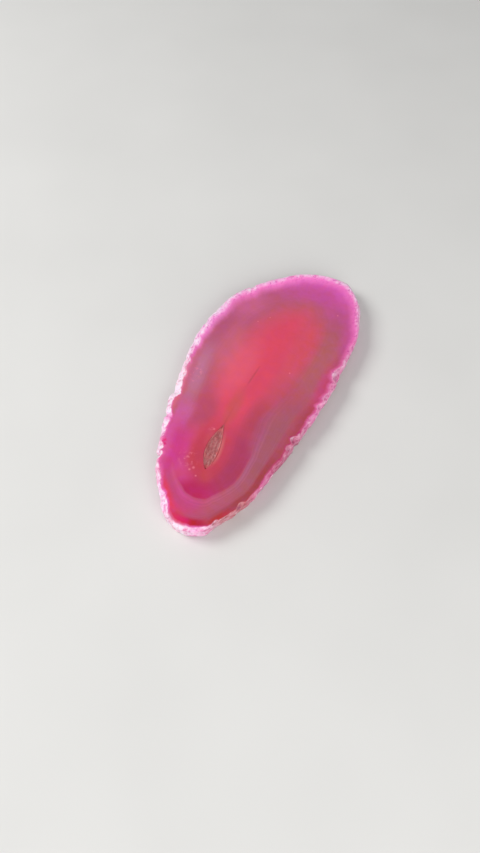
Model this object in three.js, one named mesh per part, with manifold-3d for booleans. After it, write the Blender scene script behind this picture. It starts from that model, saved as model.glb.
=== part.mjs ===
// Dyed agate slice: one flat slab sawn across a nodule and polished on both faces.
// The nodule's rough skin is left round the rim, with the small breaks that the saw
// made along its top edge. A narrow pocket at the heart of the banding is open on the
// top face and lined with a crust of small quartz points.
//
// Millimetres, +Z up. The slab lies flat on its under-face at z = 0. Its long axis is
// Y with the broad end at +Y, and the origin is the middle of the under-face.

import * as THREE from 'three';
import { mergeVertices } from 'three/addons/utils/BufferGeometryUtils.js';
import Module from 'manifold-3d';

// Driving dimensions of the slab
const LENGTH = 83.8;
const THICKNESS = 5;
const NARROW_TIP_X = 0.6;
const BROAD_TIP_X = 8.1;

// Where the rim crosses the left and the right of the long axis: [y, left x, right x]
const STATIONS = [
  [-40, -4.7, 5.4],
  [-36.5, -7.7, 7.6],
  [-30.5, -11.9, 11.1],
  [-22.5, -14.8, 13.8],
  [-12.5, -17.4, 16],
  [-2.5, -18.8, 18.1],
  [7.5, -19.9, 19.5],
  [17.5, -18.9, 19.8],
  [26.5, -15.6, 19.7],
  [34.5, -8.3, 17.5],
  [39.5, -1.8, 13.8],
];

// The rough skin: steps round the rim, and the height of each ring of the wall with
// how far it stands in from the widest line and what share of the lumps it shows
const STEPS_AROUND = 208;
const WALL_RINGS = [
  { z: 0, inset: 0.35, lumps: 0.3 },
  { z: 0.5, inset: 0.1, lumps: 0.8 },
  { z: 1.5, inset: 0, lumps: 1 },
  { z: 2.6, inset: 0, lumps: 1 },
  { z: 3.6, inset: 0, lumps: 1 },
  { z: 4.4, inset: 0, lumps: 0.6 },
  { z: THICKNESS, inset: 0, lumps: 0 },
];
const EDGE_BREAK_LEFT = 1.1;
const EDGE_BREAK_RIGHT = 0.35;
const EDGE_BREAK_SHOULDER = 0.3;

// Ripples of the skin, each as a whole number of waves round the rim; they fade
// towards the broad end, where the skin is smoothest
const RIPPLES = [
  { waves: 17, height: 0.08, phase: 0.4 },
  { waves: 29, height: 0.08, phase: 2.1 },
  { waves: 53, height: 0.06, phase: 4.4 },
];
const LUMP_HEIGHT = 0.2;
const LUMP_WAVES = [31, 47];
const LUMP_RISE = 1.9;
const SMOOTH_END_SHARE = 0.35;
const SMOOTH_FROM_Y = 10;
const SMOOTH_TO_Y = 36;

// Chips broken out of the rim, all in millimetres
const CHIPS = [
  { x: 16.5, y: -10.2, width: 1.1, depth: 1.1 },
  { x: 19.8, y: 11.6, width: 2.6, depth: 0.5 },
  { x: 18.7, y: 1.4, width: 1.2, depth: 0.4 },
  { x: 18, y: -3.4, width: 1.3, depth: 0.4 },
  { x: 13.9, y: -22.4, width: 1.6, depth: 0.35 },
  { x: 7, y: -37.7, width: 1.2, depth: 0.45 },
  { x: -6.8, y: -37.7, width: 1, depth: 0.4 },
  { x: -13.3, y: -26.8, width: 1.1, depth: 0.7 },
  { x: -16.8, y: -15.4, width: 1.1, depth: 0.45 },
  { x: -18.3, y: -6.4, width: 1.3, depth: 0.5 },
  { x: -13.9, y: 28.8, width: 1.4, depth: 0.6 },
];

// The pocket: a spindle-shaped hollow, slender towards the broad end and fuller at its heel
const POCKET_TIP = { x: -1.45, y: -13.8 };
const POCKET_HEEL = { x: -0.25, y: -27 };
const POCKET_HALF_WIDTH = 2;
const POCKET_DEPTH = 2.6;
const POCKET_SKEW = 1.35;
const POCKET_BLUNTNESS = 0.8;
const POCKET_STEEPNESS = 0.75;
const POCKET_STEPS = 20;

// The crust that lines the pocket, clear of its wall, and the quartz points on it
const CRUST_GAP = 0.3;
const CRUST_WALL = 0.45;
const CRUST_BELOW_FACE = 0.5;
const CRYSTAL_SIDES = 6;
const CRYSTAL_RADIUS = 0.4;
const CRYSTAL_HEIGHT = 1.05;
const CRYSTAL_SHOULDER = 0.85;
const CRYSTAL_ROOT = 0.3;
const CRYSTAL_SPACING = 0.88;
const CRYSTAL_END_SHARE = 0.16;
const CRYSTAL_SIDE_SHARE = 0.12;
const CRYSTAL_JITTER = 0.3;
const CRYSTAL_TILT = 0.5;
const CRYSTAL_SEED = 7;

const TAU = Math.PI * 2;

const wasm = await Module();
wasm.setup();

/** A closed three.js geometry as a solid that can be joined and cut. */
function solidOf(geometry) {
  const bare = geometry.clone();
  bare.deleteAttribute('normal');
  bare.deleteAttribute('uv');
  const merged = mergeVertices(bare);
  return new wasm.Manifold(new wasm.Mesh({
    numProp: 3,
    vertProperties: new Float32Array(merged.attributes.position.array),
    triVerts: new Uint32Array(merged.index.array),
  }));
}

/** A solid back as a three.js geometry with flat facets. */
function geometryOf(solid) {
  const mesh = solid.getMesh();
  const geometry = new THREE.BufferGeometry();
  geometry.setAttribute('position', new THREE.BufferAttribute(mesh.vertProperties, mesh.numProp));
  geometry.setIndex(new THREE.BufferAttribute(mesh.triVerts, 1));
  geometry.computeVertexNormals();
  return geometry;
}

/** Repeatable pseudo-random numbers from 0 to 1. */
function seededRandom(seed) {
  let state = seed;
  return () => {
    state = (state * 16807) % 2147483647;
    return state / 2147483647;
  };
}

/** The widest line of the skin as a closed curve, anticlockwise from the narrow tip. */
function rimCurve() {
  const right = STATIONS.map(([y, , x]) => new THREE.Vector3(x, y, 0));
  const left = STATIONS.map(([y, x]) => new THREE.Vector3(x, y, 0)).reverse();
  const narrowTip = new THREE.Vector3(NARROW_TIP_X, -LENGTH / 2, 0);
  const broadTip = new THREE.Vector3(BROAD_TIP_X, LENGTH / 2, 0);
  const curve = new THREE.CatmullRomCurve3([narrowTip, ...right, broadTip, ...left], true, 'centripetal');
  curve.arcLengthDivisions = 2000;
  return curve;
}

/** The rim at even steps: place, outward direction and share of the way round. */
function rimSteps(curve) {
  return Array.from({ length: STEPS_AROUND }, (_, i) => {
    const share = i / STEPS_AROUND;
    const place = curve.getPointAt(share);
    const along = curve.getTangentAt(share);
    return { place, out: new THREE.Vector3(along.y, -along.x, 0), share };
  });
}

/** How deep the chips bite into the rim at a place. */
function chipDepth(place) {
  const bite = ({ x, y, width, depth }) => depth * Math.exp(-((Math.hypot(place.x - x, place.y - y) / width) ** 2));
  return CHIPS.reduce((sum, chip) => sum + bite(chip), 0);
}

/** What share of its ripples and lumps the skin shows at a height along the long axis. */
function roughShare(y) {
  return 1 - (1 - SMOOTH_END_SHARE) * THREE.MathUtils.smoothstep(y, SMOOTH_FROM_Y, SMOOTH_TO_Y);
}

/** How far a point of the wall stands out from the widest line, at a step and a ring. */
function skinRelief(step, ring) {
  const turn = step.share * TAU;
  const ripple = RIPPLES.reduce((sum, r) => sum + r.height * Math.sin(r.waves * turn + r.phase), 0);
  const climb = ring.z * LUMP_RISE;
  const lump = LUMP_HEIGHT * Math.sin(LUMP_WAVES[0] * turn + climb) * Math.cos(LUMP_WAVES[1] * turn - climb);
  const rough = (ripple + ring.lumps * lump) * roughShare(step.place.y);
  return rough - ring.inset - chipDepth(step.place);
}

/** How far the polished face stops short of the skin: more on the left than on the right. */
function edgeBreak(step, ring) {
  const leftness = (1 - step.out.x) / 2;
  const whole = EDGE_BREAK_RIGHT + (EDGE_BREAK_LEFT - EDGE_BREAK_RIGHT) * leftness ** 2;
  if (ring === WALL_RINGS.at(-1)) return whole;
  return ring === WALL_RINGS.at(-2) ? whole * EDGE_BREAK_SHOULDER : 0;
}

/** The slab: a disc whose wall is moved on to the rim, ring by ring. */
function slab() {
  const steps = rimSteps(rimCurve());
  const disc = new THREE.CylinderGeometry(1, 1, WALL_RINGS.length - 1, STEPS_AROUND, WALL_RINGS.length - 1);
  disc.rotateX(Math.PI / 2);
  const places = disc.attributes.position;
  const corner = new THREE.Vector3();
  for (let i = 0; i < places.count; i += 1) {
    corner.fromBufferAttribute(places, i);
    const ring = WALL_RINGS[Math.round(corner.z + (WALL_RINGS.length - 1) / 2)];
    if (Math.hypot(corner.x, corner.y) < 0.5) {
      places.setXYZ(i, 0, 0, ring.z);
      continue;
    }
    const turn = Math.atan2(corner.y, corner.x) / TAU + 1;
    const step = steps[Math.round(turn * STEPS_AROUND) % STEPS_AROUND];
    const stand = skinRelief(step, ring) - edgeBreak(step, ring);
    places.setXYZ(i, step.place.x + step.out.x * stand, step.place.y + step.out.y * stand, ring.z);
  }
  return solidOf(disc);
}

/** How full the pocket is at a share of its length from the tip, as a share of its widest. */
function spindle(fromTip) {
  return Math.sin(Math.PI * fromTip ** POCKET_SKEW) ** POCKET_BLUNTNESS;
}

/** A sphere's coordinate pushed outwards, so that the pocket's walls stand steeper. */
function steepen(coordinate) {
  return Math.sign(coordinate) * Math.abs(coordinate) ** POCKET_STEEPNESS;
}

/** A point of the pocket's form: how far from its tip, which way from its middle line, and a margin. */
function pocketPoint(fromTip, way, margin) {
  const full = spindle(fromTip);
  const middleX = THREE.MathUtils.lerp(POCKET_TIP.x, POCKET_HEEL.x, fromTip);
  return new THREE.Vector3(
    middleX + steepen(way.x) * (POCKET_HALF_WIDTH - margin) * full,
    THREE.MathUtils.lerp(POCKET_TIP.y - 2 * margin, POCKET_HEEL.y + margin, fromTip),
    THICKNESS + steepen(way.y) * (POCKET_DEPTH - margin) * full,
  );
}

/** A solid with the pocket's form, drawn in by a margin. */
function pocketForm(margin) {
  const form = new THREE.SphereGeometry(1, POCKET_STEPS, POCKET_STEPS);
  const places = form.attributes.position;
  for (let i = 0; i < places.count; i += 1) {
    const way = new THREE.Vector2(places.getX(i), places.getZ(i)).normalize();
    const point = pocketPoint((1 - places.getY(i)) / 2, way, margin);
    places.setXYZ(i, point.x, point.y, point.z);
  }
  return solidOf(form);
}

/** One quartz point: a six-sided prism with a pyramid on it, rooted at a foot. */
function quartzPoint(foot, direction, size) {
  const point = new THREE.ConeGeometry(CRYSTAL_RADIUS, CRYSTAL_HEIGHT, CRYSTAL_SIDES, 2);
  const places = point.attributes.position;
  for (let i = 0; i < places.count; i += 1) {
    if (Math.abs(places.getY(i)) > CRYSTAL_HEIGHT / 4) continue;
    const widen = 2 * CRYSTAL_SHOULDER;
    places.setXYZ(i, places.getX(i) * widen, places.getY(i), places.getZ(i) * widen);
  }
  point.translate(0, CRYSTAL_HEIGHT / 2 - CRYSTAL_ROOT, 0);
  point.scale(size, size, size);
  point.applyQuaternion(new THREE.Quaternion().setFromUnitVectors(new THREE.Vector3(0, 1, 0), direction));
  point.translate(foot.x, foot.y, foot.z);
  return solidOf(point);
}

/** A solid without the small closed hollows left between its quartz points. */
function filled(solid) {
  return solid.decompose().reduce((largest, shell) => (shell.volume() > largest.volume() ? shell : largest));
}

/** The crust: a thin bowl that follows the pocket, grown over with quartz points. */
function crust() {
  const bowl = pocketForm(CRUST_GAP).trimByPlane([0, 0, -1], CRUST_BELOW_FACE - THICKNESS);
  const wall = CRUST_GAP + CRUST_WALL;
  const random = seededRandom(CRYSTAL_SEED);
  const scatter = () => (random() - 0.5) * 2;
  const rows = Math.round((POCKET_TIP.y - POCKET_HEEL.y) / CRYSTAL_SPACING);
  let body = bowl.subtract(pocketForm(wall));
  for (let row = 0; row <= rows; row += 1) {
    const along = THREE.MathUtils.lerp(CRYSTAL_END_SHARE, 1 - CRYSTAL_END_SHARE, row / rows);
    const places = Math.max(2, Math.round((spindle(along) * POCKET_HALF_WIDTH * Math.PI) / CRYSTAL_SPACING));
    for (let place = 0; place < places; place += 1) {
      const across = (place + 0.5 + CRYSTAL_JITTER * scatter()) / places;
      const turn = Math.PI + Math.PI * THREE.MathUtils.lerp(CRYSTAL_SIDE_SHARE, 1 - CRYSTAL_SIDE_SHARE, across);
      const way = new THREE.Vector2(Math.cos(turn), Math.sin(turn));
      const foot = pocketPoint(along + (CRYSTAL_JITTER * scatter()) / rows, way, wall);
      const direction = new THREE.Vector3(-way.x, CRYSTAL_TILT * scatter(), -way.y).normalize();
      body = body.add(quartzPoint(foot, direction, 0.8 + 0.3 * scatter()));
    }
  }
  return filled(body.intersect(bowl));
}

/** A named sub-part with its own finish. */
function subPart(name, solid, finish) {
  const mesh = new THREE.Mesh(geometryOf(solid), new THREE.MeshStandardMaterial({ flatShading: true, ...finish }));
  mesh.name = name;
  return mesh;
}

const agateSlice = new THREE.Group();
agateSlice.name = 'agate-slice';
agateSlice.add(
  subPart('banded-slab', slab().subtract(pocketForm(0)), { color: 0xc4506f, roughness: 0.25, metalness: 0 }),
  subPart('crystal-crust', crust(), { color: 0xb08a8c, roughness: 0.2, metalness: 0 }),
);

export default agateSlice;
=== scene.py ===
"""Dyed agate slice lying flat: one banded stone with polished faces and a rough skin round
its rim, and a small spindle-shaped pocket lined with quartz points.

The stone's bands are followed by three measures that its mesh carries: how far a place has
grown in from the rim, how far it lies from the broken edge, and how far from the seam or
pocket that the bands close on. More of them tell of the rind: how far it glows inwards, how
ragged and how white it is, where it is hollow, with the painted shade and painted highlight
that its hollows, chips and crest get, and which way its fibres run. The slab's finish
reads them all.
"""

import logging
import math
from collections.abc import Callable
from dataclasses import dataclass, field
from enum import Enum

import bmesh
import bpy
import numpy as np
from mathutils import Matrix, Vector, noise


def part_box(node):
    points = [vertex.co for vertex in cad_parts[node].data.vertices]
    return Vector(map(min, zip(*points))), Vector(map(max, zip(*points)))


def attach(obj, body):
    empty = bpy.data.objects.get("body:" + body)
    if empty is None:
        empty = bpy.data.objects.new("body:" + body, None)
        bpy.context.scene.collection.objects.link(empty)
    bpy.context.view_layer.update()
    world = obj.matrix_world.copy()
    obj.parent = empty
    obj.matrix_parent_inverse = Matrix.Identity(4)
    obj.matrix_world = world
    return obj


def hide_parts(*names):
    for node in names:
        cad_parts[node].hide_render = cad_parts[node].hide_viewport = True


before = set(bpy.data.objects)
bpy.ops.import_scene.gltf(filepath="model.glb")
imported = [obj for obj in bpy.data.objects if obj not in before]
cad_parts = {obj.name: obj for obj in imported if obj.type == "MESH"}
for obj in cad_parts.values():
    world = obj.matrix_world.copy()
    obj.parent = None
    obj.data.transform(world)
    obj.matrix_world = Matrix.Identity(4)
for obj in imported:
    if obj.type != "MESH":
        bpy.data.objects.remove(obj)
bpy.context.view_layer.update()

MM = 0.001
TAU = math.tau
# Corners this close are merged, and then edges this short are taken out
WELD_MM, SLIVER_MM = 0.002, 0.001
# Growth is 0 at the rim, this at the heart's edge and 1 at the core
AT_HEART = 0.5
# Where a Mix node in colour mode keeps its two colours and its result
MIX_A, MIX_B, MIX_RESULT = 6, 7, 2
# Where a Compare node keeps how near counts as equal
COMPARE_SLACK = 12
# The hue at which a Hue Saturation node turns nothing
SAME_HUE = 0.5
# Between these a noise texture nearly always stays
NOISE_LOW, NOISE_HIGH = 0.3, 0.7

Array = np.ndarray
Pair = tuple[float, float]
Place = tuple[float, float, float]
Knots = tuple[Pair, ...]
Tree = bpy.types.NodeTree
# A node stands for its first output
Out = bpy.types.Node | bpy.types.NodeSocket

log = logging.getLogger("agate_slice")


class Side(Enum):
    """A side of the slice's long axis, seen from above with the broad end away."""

    RIGHT = 1
    LEFT = -1


def linear(hex_colour: str) -> tuple[float, float, float, float]:
    """Turns an sRGB hex colour into linear light.

    Args:
        hex_colour: Six hex digits with a leading hash.

    Returns:
        Red, green and blue in linear light, and a full alpha.
    """
    channels = [int(hex_colour[i : i + 2], 16) / 255 for i in (1, 3, 5)]
    red, green, blue = (c / 12.92 if c <= 0.04045 else ((c + 0.055) / 1.055) ** 2.4 for c in channels)
    return red, green, blue, 1.0


def add(tree: Tree, kind: str, inputs: dict | None = None, **settings: object) -> bpy.types.Node:
    """Adds a node with its settings, values and links.

    Args:
        tree: The tree that gets the node.
        kind: Blender's name for the node's type.
        inputs: Socket name or number, each with a value or the node or output that feeds it.
        settings: Properties of the node itself.

    Returns:
        The new node.
    """
    node = tree.nodes.new(kind)
    for name, value in settings.items():
        setattr(node, name, value)
    for key, value in (inputs or {}).items():
        if isinstance(value, bpy.types.Node):
            value = value.outputs[0]
        if isinstance(value, bpy.types.NodeSocket):
            tree.links.new(value, node.inputs[key])
        else:
            node.inputs[key].default_value = value
    return node


def smooth_loop(points: Array, steps: int) -> Array:
    """Draws a smooth closed curve through points, evenly rounded where they are uneven.

    Args:
        points: The points in order, one per row.
        steps: How many places are worked out between two points.

    Returns:
        The curve's places in order, without repeating the first.
    """
    before, after, beyond = np.roll(points, 1, 0), np.roll(points, -1, 0), np.roll(points, -2, 0)
    gap = np.sqrt(np.linalg.norm(after - points, axis=1))[:, None]
    gap_before, gap_after = np.roll(gap, 1, 0), np.roll(gap, -1, 0)
    leave = (points - before) / gap_before - (after - before) / (gap_before + gap) + (after - points) / gap
    reach = (after - points) / gap - (beyond - points) / (gap + gap_after) + (beyond - after) / gap_after
    leave, reach = leave * gap, reach * gap
    share = (np.arange(steps) / steps)[None, :, None]
    start, finish = points[:, None], after[:, None]
    leave, reach = leave[:, None], reach[:, None]
    square = 3 * (finish - start) - 2 * leave - reach
    cube = 2 * (start - finish) + leave + reach
    return (start + leave * share + square * share**2 + cube * share**3).reshape(-1, points.shape[1])


def smoothstep(low: float, high: float, value: Array) -> Array:
    """Rises smoothly from 0 at low to 1 at high."""
    share = np.clip((value - low) / (high - low), 0, 1)
    return share * share * (3 - 2 * share)


def round_the_rim(knots: Knots, share: Array) -> Array:
    """Reads a value that changes smoothly round the rim.

    Args:
        knots: Pairs of the share of the way round and the value there.
        share: Where the value is wanted, as shares of the way round.

    Returns:
        The value at each share.
    """
    once = np.array(knots)
    places = np.concatenate([once[:, 0] + turn for turn in (-1, 0, 1)])
    values = np.tile(once[:, 1], 3)
    slopes = np.gradient(values, places)
    left = np.searchsorted(places, share, side="right") - 1
    span = places[left + 1] - places[left]
    part = (share - places[left]) / span
    rise = part * part * (3 - 2 * part)
    leaving, reaching = part * (1 - part) ** 2 * span, part * part * (part - 1) * span
    between = values[left] * (1 - rise) + values[left + 1] * rise
    return between + slopes[left] * leaving + slopes[left + 1] * reaching


def mesh_piece(name: str, places: Array, faces: list, measures: dict[str, Array]) -> bpy.types.Object:
    """Makes a mesh object whose doubled corners are merged.

    Args:
        name: The piece's name.
        places: Its corners in millimetres, one per row.
        faces: Its faces as lists of corner numbers.
        measures: Named values or vectors that each corner carries.

    Returns:
        The object, linked to the scene, with its place in its mesh.
    """
    mesh = bpy.data.meshes.new(name)
    mesh.from_pydata((places * MM).tolist(), [], faces)
    for key, values in measures.items():
        kind, slot = ("FLOAT", "value") if values.ndim == 1 else ("FLOAT_VECTOR", "vector")
        mesh.attributes.new(key, kind, "POINT").data.foreach_set(slot, values.astype(np.float32).ravel())
    welded = bmesh.new()
    welded.from_mesh(mesh)
    bmesh.ops.remove_doubles(welded, verts=welded.verts, dist=WELD_MM * MM)
    bmesh.ops.dissolve_degenerate(welded, edges=welded.edges, dist=SLIVER_MM * MM)
    welded.to_mesh(mesh)
    welded.free()
    mesh.shade_smooth()
    piece = bpy.data.objects.new(name, mesh)
    bpy.context.scene.collection.objects.link(piece)
    return piece


@dataclass(frozen=True)
class Grain:
    """Soft relief: the size of its lumps in millimetres, where its noise starts, and its height."""

    size: float
    seed: float
    height: float = 1.0

    def at(self, places: Array) -> Array:
        """Works out the relief at places.

        Args:
            places: Places in millimetres, with x, y and z along the last axis.

        Returns:
            The relief at each, from minus to plus its height.
        """
        offset = Vector((self.seed, -self.seed, self.seed * 0.5))
        flat = places.reshape(-1, 3)
        rough = np.array([noise.noise(Vector(p) / self.size + offset) for p in flat])
        return self.height * rough.reshape(places.shape[:-1])


@dataclass(frozen=True)
class Chip:
    """A small bite broken out of the rim: its half length, depth and reach over the face, in mm."""

    x: float
    y: float
    width: float
    depth: float
    reach: float


@dataclass(frozen=True)
class Pocket:
    """The spindle-shaped hollow that the bands close on, in millimetres."""

    tip: Pair = (-1.6, -13.3)
    heel: Pair = (-0.7, -26.2)
    half_width: float = 1.75
    # How far its middle bows out to the left
    bow: float = 0.3
    depth: float = 2.2
    # Above 1 its widest place lies nearer to the heel than to the tip
    skew: float = 1.3
    # Below 1 its ends are blunter than a sine's, and its walls steeper than a round hollow's
    bluntness: float = 0.76
    steepness: float = 0.75
    # How far the right wall leans in under the face, and the depth by which it has
    right_lean: float = 0.12
    lean_depth: float = 0.45

    def middle_x(self, from_tip: Array) -> Array:
        """Where the pocket's middle line lies across the slice, at a share of its length."""
        straight = self.tip[0] + (self.heel[0] - self.tip[0]) * from_tip
        return straight - self.bow * np.sin(np.pi * np.clip(from_tip, 0, 1))

    def fullness(self, from_tip: Array) -> Array:
        """How wide the pocket is at a share of its length, as a share of its widest."""
        inside = np.clip(from_tip, 0, 1) ** self.skew
        return np.maximum(np.sin(np.pi * inside), 0) ** self.bluntness

    def surface(self, from_tip: Array, turn: Array, margin: float, top: float) -> Array:
        """Finds places on the pocket's wall.

        Args:
            from_tip: Share of the way from the tip to the heel.
            turn: Angle below the face: 0 at the right rim, half a turn at the left rim.
            margin: How far the places stand in from the wall.
            top: Height of the face that the pocket opens on.

        Returns:
            One place per entry.
        """
        full = self.fullness(from_tip)
        across, down = np.cos(turn), np.sin(turn)
        across = np.sign(across) * np.abs(across) ** self.steepness
        depth = np.abs(down) ** self.steepness * (self.depth - margin) * full
        x = self.middle_x(from_tip) + across * (self.half_width - margin) * full
        x = x - self.right_lean * np.clip(across, 0, 1) * np.clip(depth / self.lean_depth, 0, 1) * full
        start, end = self.tip[1] - 2 * margin, self.heel[1] + margin
        return np.stack([x, start + (end - start) * from_tip, top - depth], -1)


@dataclass
class Growth:
    """The slice's outline and the lines that its bands grew along, in millimetres."""

    length: float = 83.8
    narrow_tip_x: float = 0.6
    broad_tip_x: float = 8.1
    # Where the rim crosses the left and the right of the long axis: y, left x, right x
    stations: tuple[Place, ...] = (
        (-41.2, -3.3, 3.75),
        (-40.0, -4.85, 5.45),
        (-36.5, -7.7, 7.9),
        (-30.5, -12.0, 11.5),
        (-27.0, -13.25, 12.85),
        (-22.5, -14.8, 13.8),
        (-12.5, -17.4, 16.0),
        (-2.5, -18.8, 18.1),
        (7.5, -19.9, 19.5),
        (17.5, -18.9, 19.8),
        (26.5, -15.6, 19.7),
        (30.5, -12.45, 18.6),
        (34.5, -8.3, 17.4),
        (39.5, -1.8, 13.75),
        (41.3, 3.35, 11.4),
    )
    # Steps from one station to the next while the rim is measured, and up each side after that
    fine_steps: int = 200
    steps_a_side: int = 440
    pocket: Pocket = field(default_factory=Pocket)
    # The seam runs on from the pocket's tip: it leans left, then bends right to its end
    seam_end_y: float = 18.0
    seam_lean: float = 0.65
    seam_bend: float = 2.6
    # How strongly the steps crowd towards the core's two ends
    core_ease: float = 0.08
    # How far in the heart begins, as a share of the way to the core, round the rim
    heart_edge: Knots = (
        (0.0, 0.505), (0.02, 0.47), (0.04, 0.45), (0.06, 0.413), (0.09, 0.392), (0.115, 0.398),
        (0.14, 0.425), (0.18, 0.49), (0.22, 0.57), (0.26, 0.51), (0.33, 0.47), (0.41, 0.46),
        (0.5, 0.50), (0.58, 0.45), (0.66, 0.46), (0.74, 0.47), (0.80, 0.50), (0.845, 0.47),
        (0.89, 0.44), (0.935, 0.375), (0.955, 0.41), (0.97, 0.455), (0.985, 0.485),
    )

    def __post_init__(self) -> None:
        """Works out the rim, the core and the heart's edge at every step round the slice."""
        self.steps = 2 * self.steps_a_side
        self.share = np.arange(self.steps) / self.steps
        self.rim = self._rim()
        self.side = np.where(np.arange(self.steps) < self.steps_a_side, Side.RIGHT.value, Side.LEFT.value)
        self.core_y = self._core_y()
        self.from_tip = (self.pocket.tip[1] - self.core_y) / (self.pocket.tip[1] - self.pocket.heel[1])
        self.middle_x = self._middle_x()
        self.heart = round_the_rim(self.heart_edge, self.share)

    def _rim(self) -> Array:
        """Draws the rim through the stations and measures it.

        Returns:
            Its places at even steps up the right side and down the left.
        """
        right = [(x, y) for y, _, x in self.stations]
        left = [(x, y) for y, x, _ in reversed(self.stations)]
        tips = (self.narrow_tip_x, -self.length / 2), (self.broad_tip_x, self.length / 2)
        curve = smooth_loop(np.array([tips[0], *right, tips[1], *left]), self.fine_steps)
        curve = np.vstack([curve, curve[:1]])
        run = np.concatenate([[0], np.cumsum(np.linalg.norm(np.diff(curve, axis=0), axis=1))])
        turning = run[(len(right) + 1) * self.fine_steps]
        even = np.arange(self.steps_a_side) / self.steps_a_side
        self.perimeter = run[-1]
        self.run = np.concatenate([even * turning, turning + even * (self.perimeter - turning)])
        return np.stack([np.interp(self.run, run, curve[:, axis]) for axis in (0, 1)], -1)

    def _core_y(self) -> Array:
        """Works out where each step's band closes.

        Returns:
            How far along the slice each step's place on the core lies.
        """
        there = np.arange(self.steps_a_side) / self.steps_a_side
        share = np.concatenate([there, 1 - there])
        eased = share - self.core_ease * np.sin(TAU * share)
        return self.pocket.heel[1] + eased * (self.seam_end_y - self.pocket.heel[1])

    def _middle_x(self) -> Array:
        """Works out the middle line of the core.

        Returns:
            The middle of the pocket, and of the seam beyond its tip, across the slice at each step.
        """
        tip = self.pocket.tip
        in_pocket = self.pocket.middle_x(np.clip(self.from_tip, 0, 1))
        along_seam = np.clip((self.core_y - tip[1]) / (self.seam_end_y - tip[1]), 0, 1)
        return in_pocket + self.seam_lean * along_seam + self.seam_bend * along_seam**2

    def core(self, with_pocket: bool) -> Array:
        """The line that the bands close on: the seam, and the pocket's rim where it is open."""
        half = self.pocket.half_width * self.pocket.fullness(self.from_tip) * (self.from_tip > 0)
        return np.stack([self.middle_x + self.side * half * with_pocket, self.core_y], -1)


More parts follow.
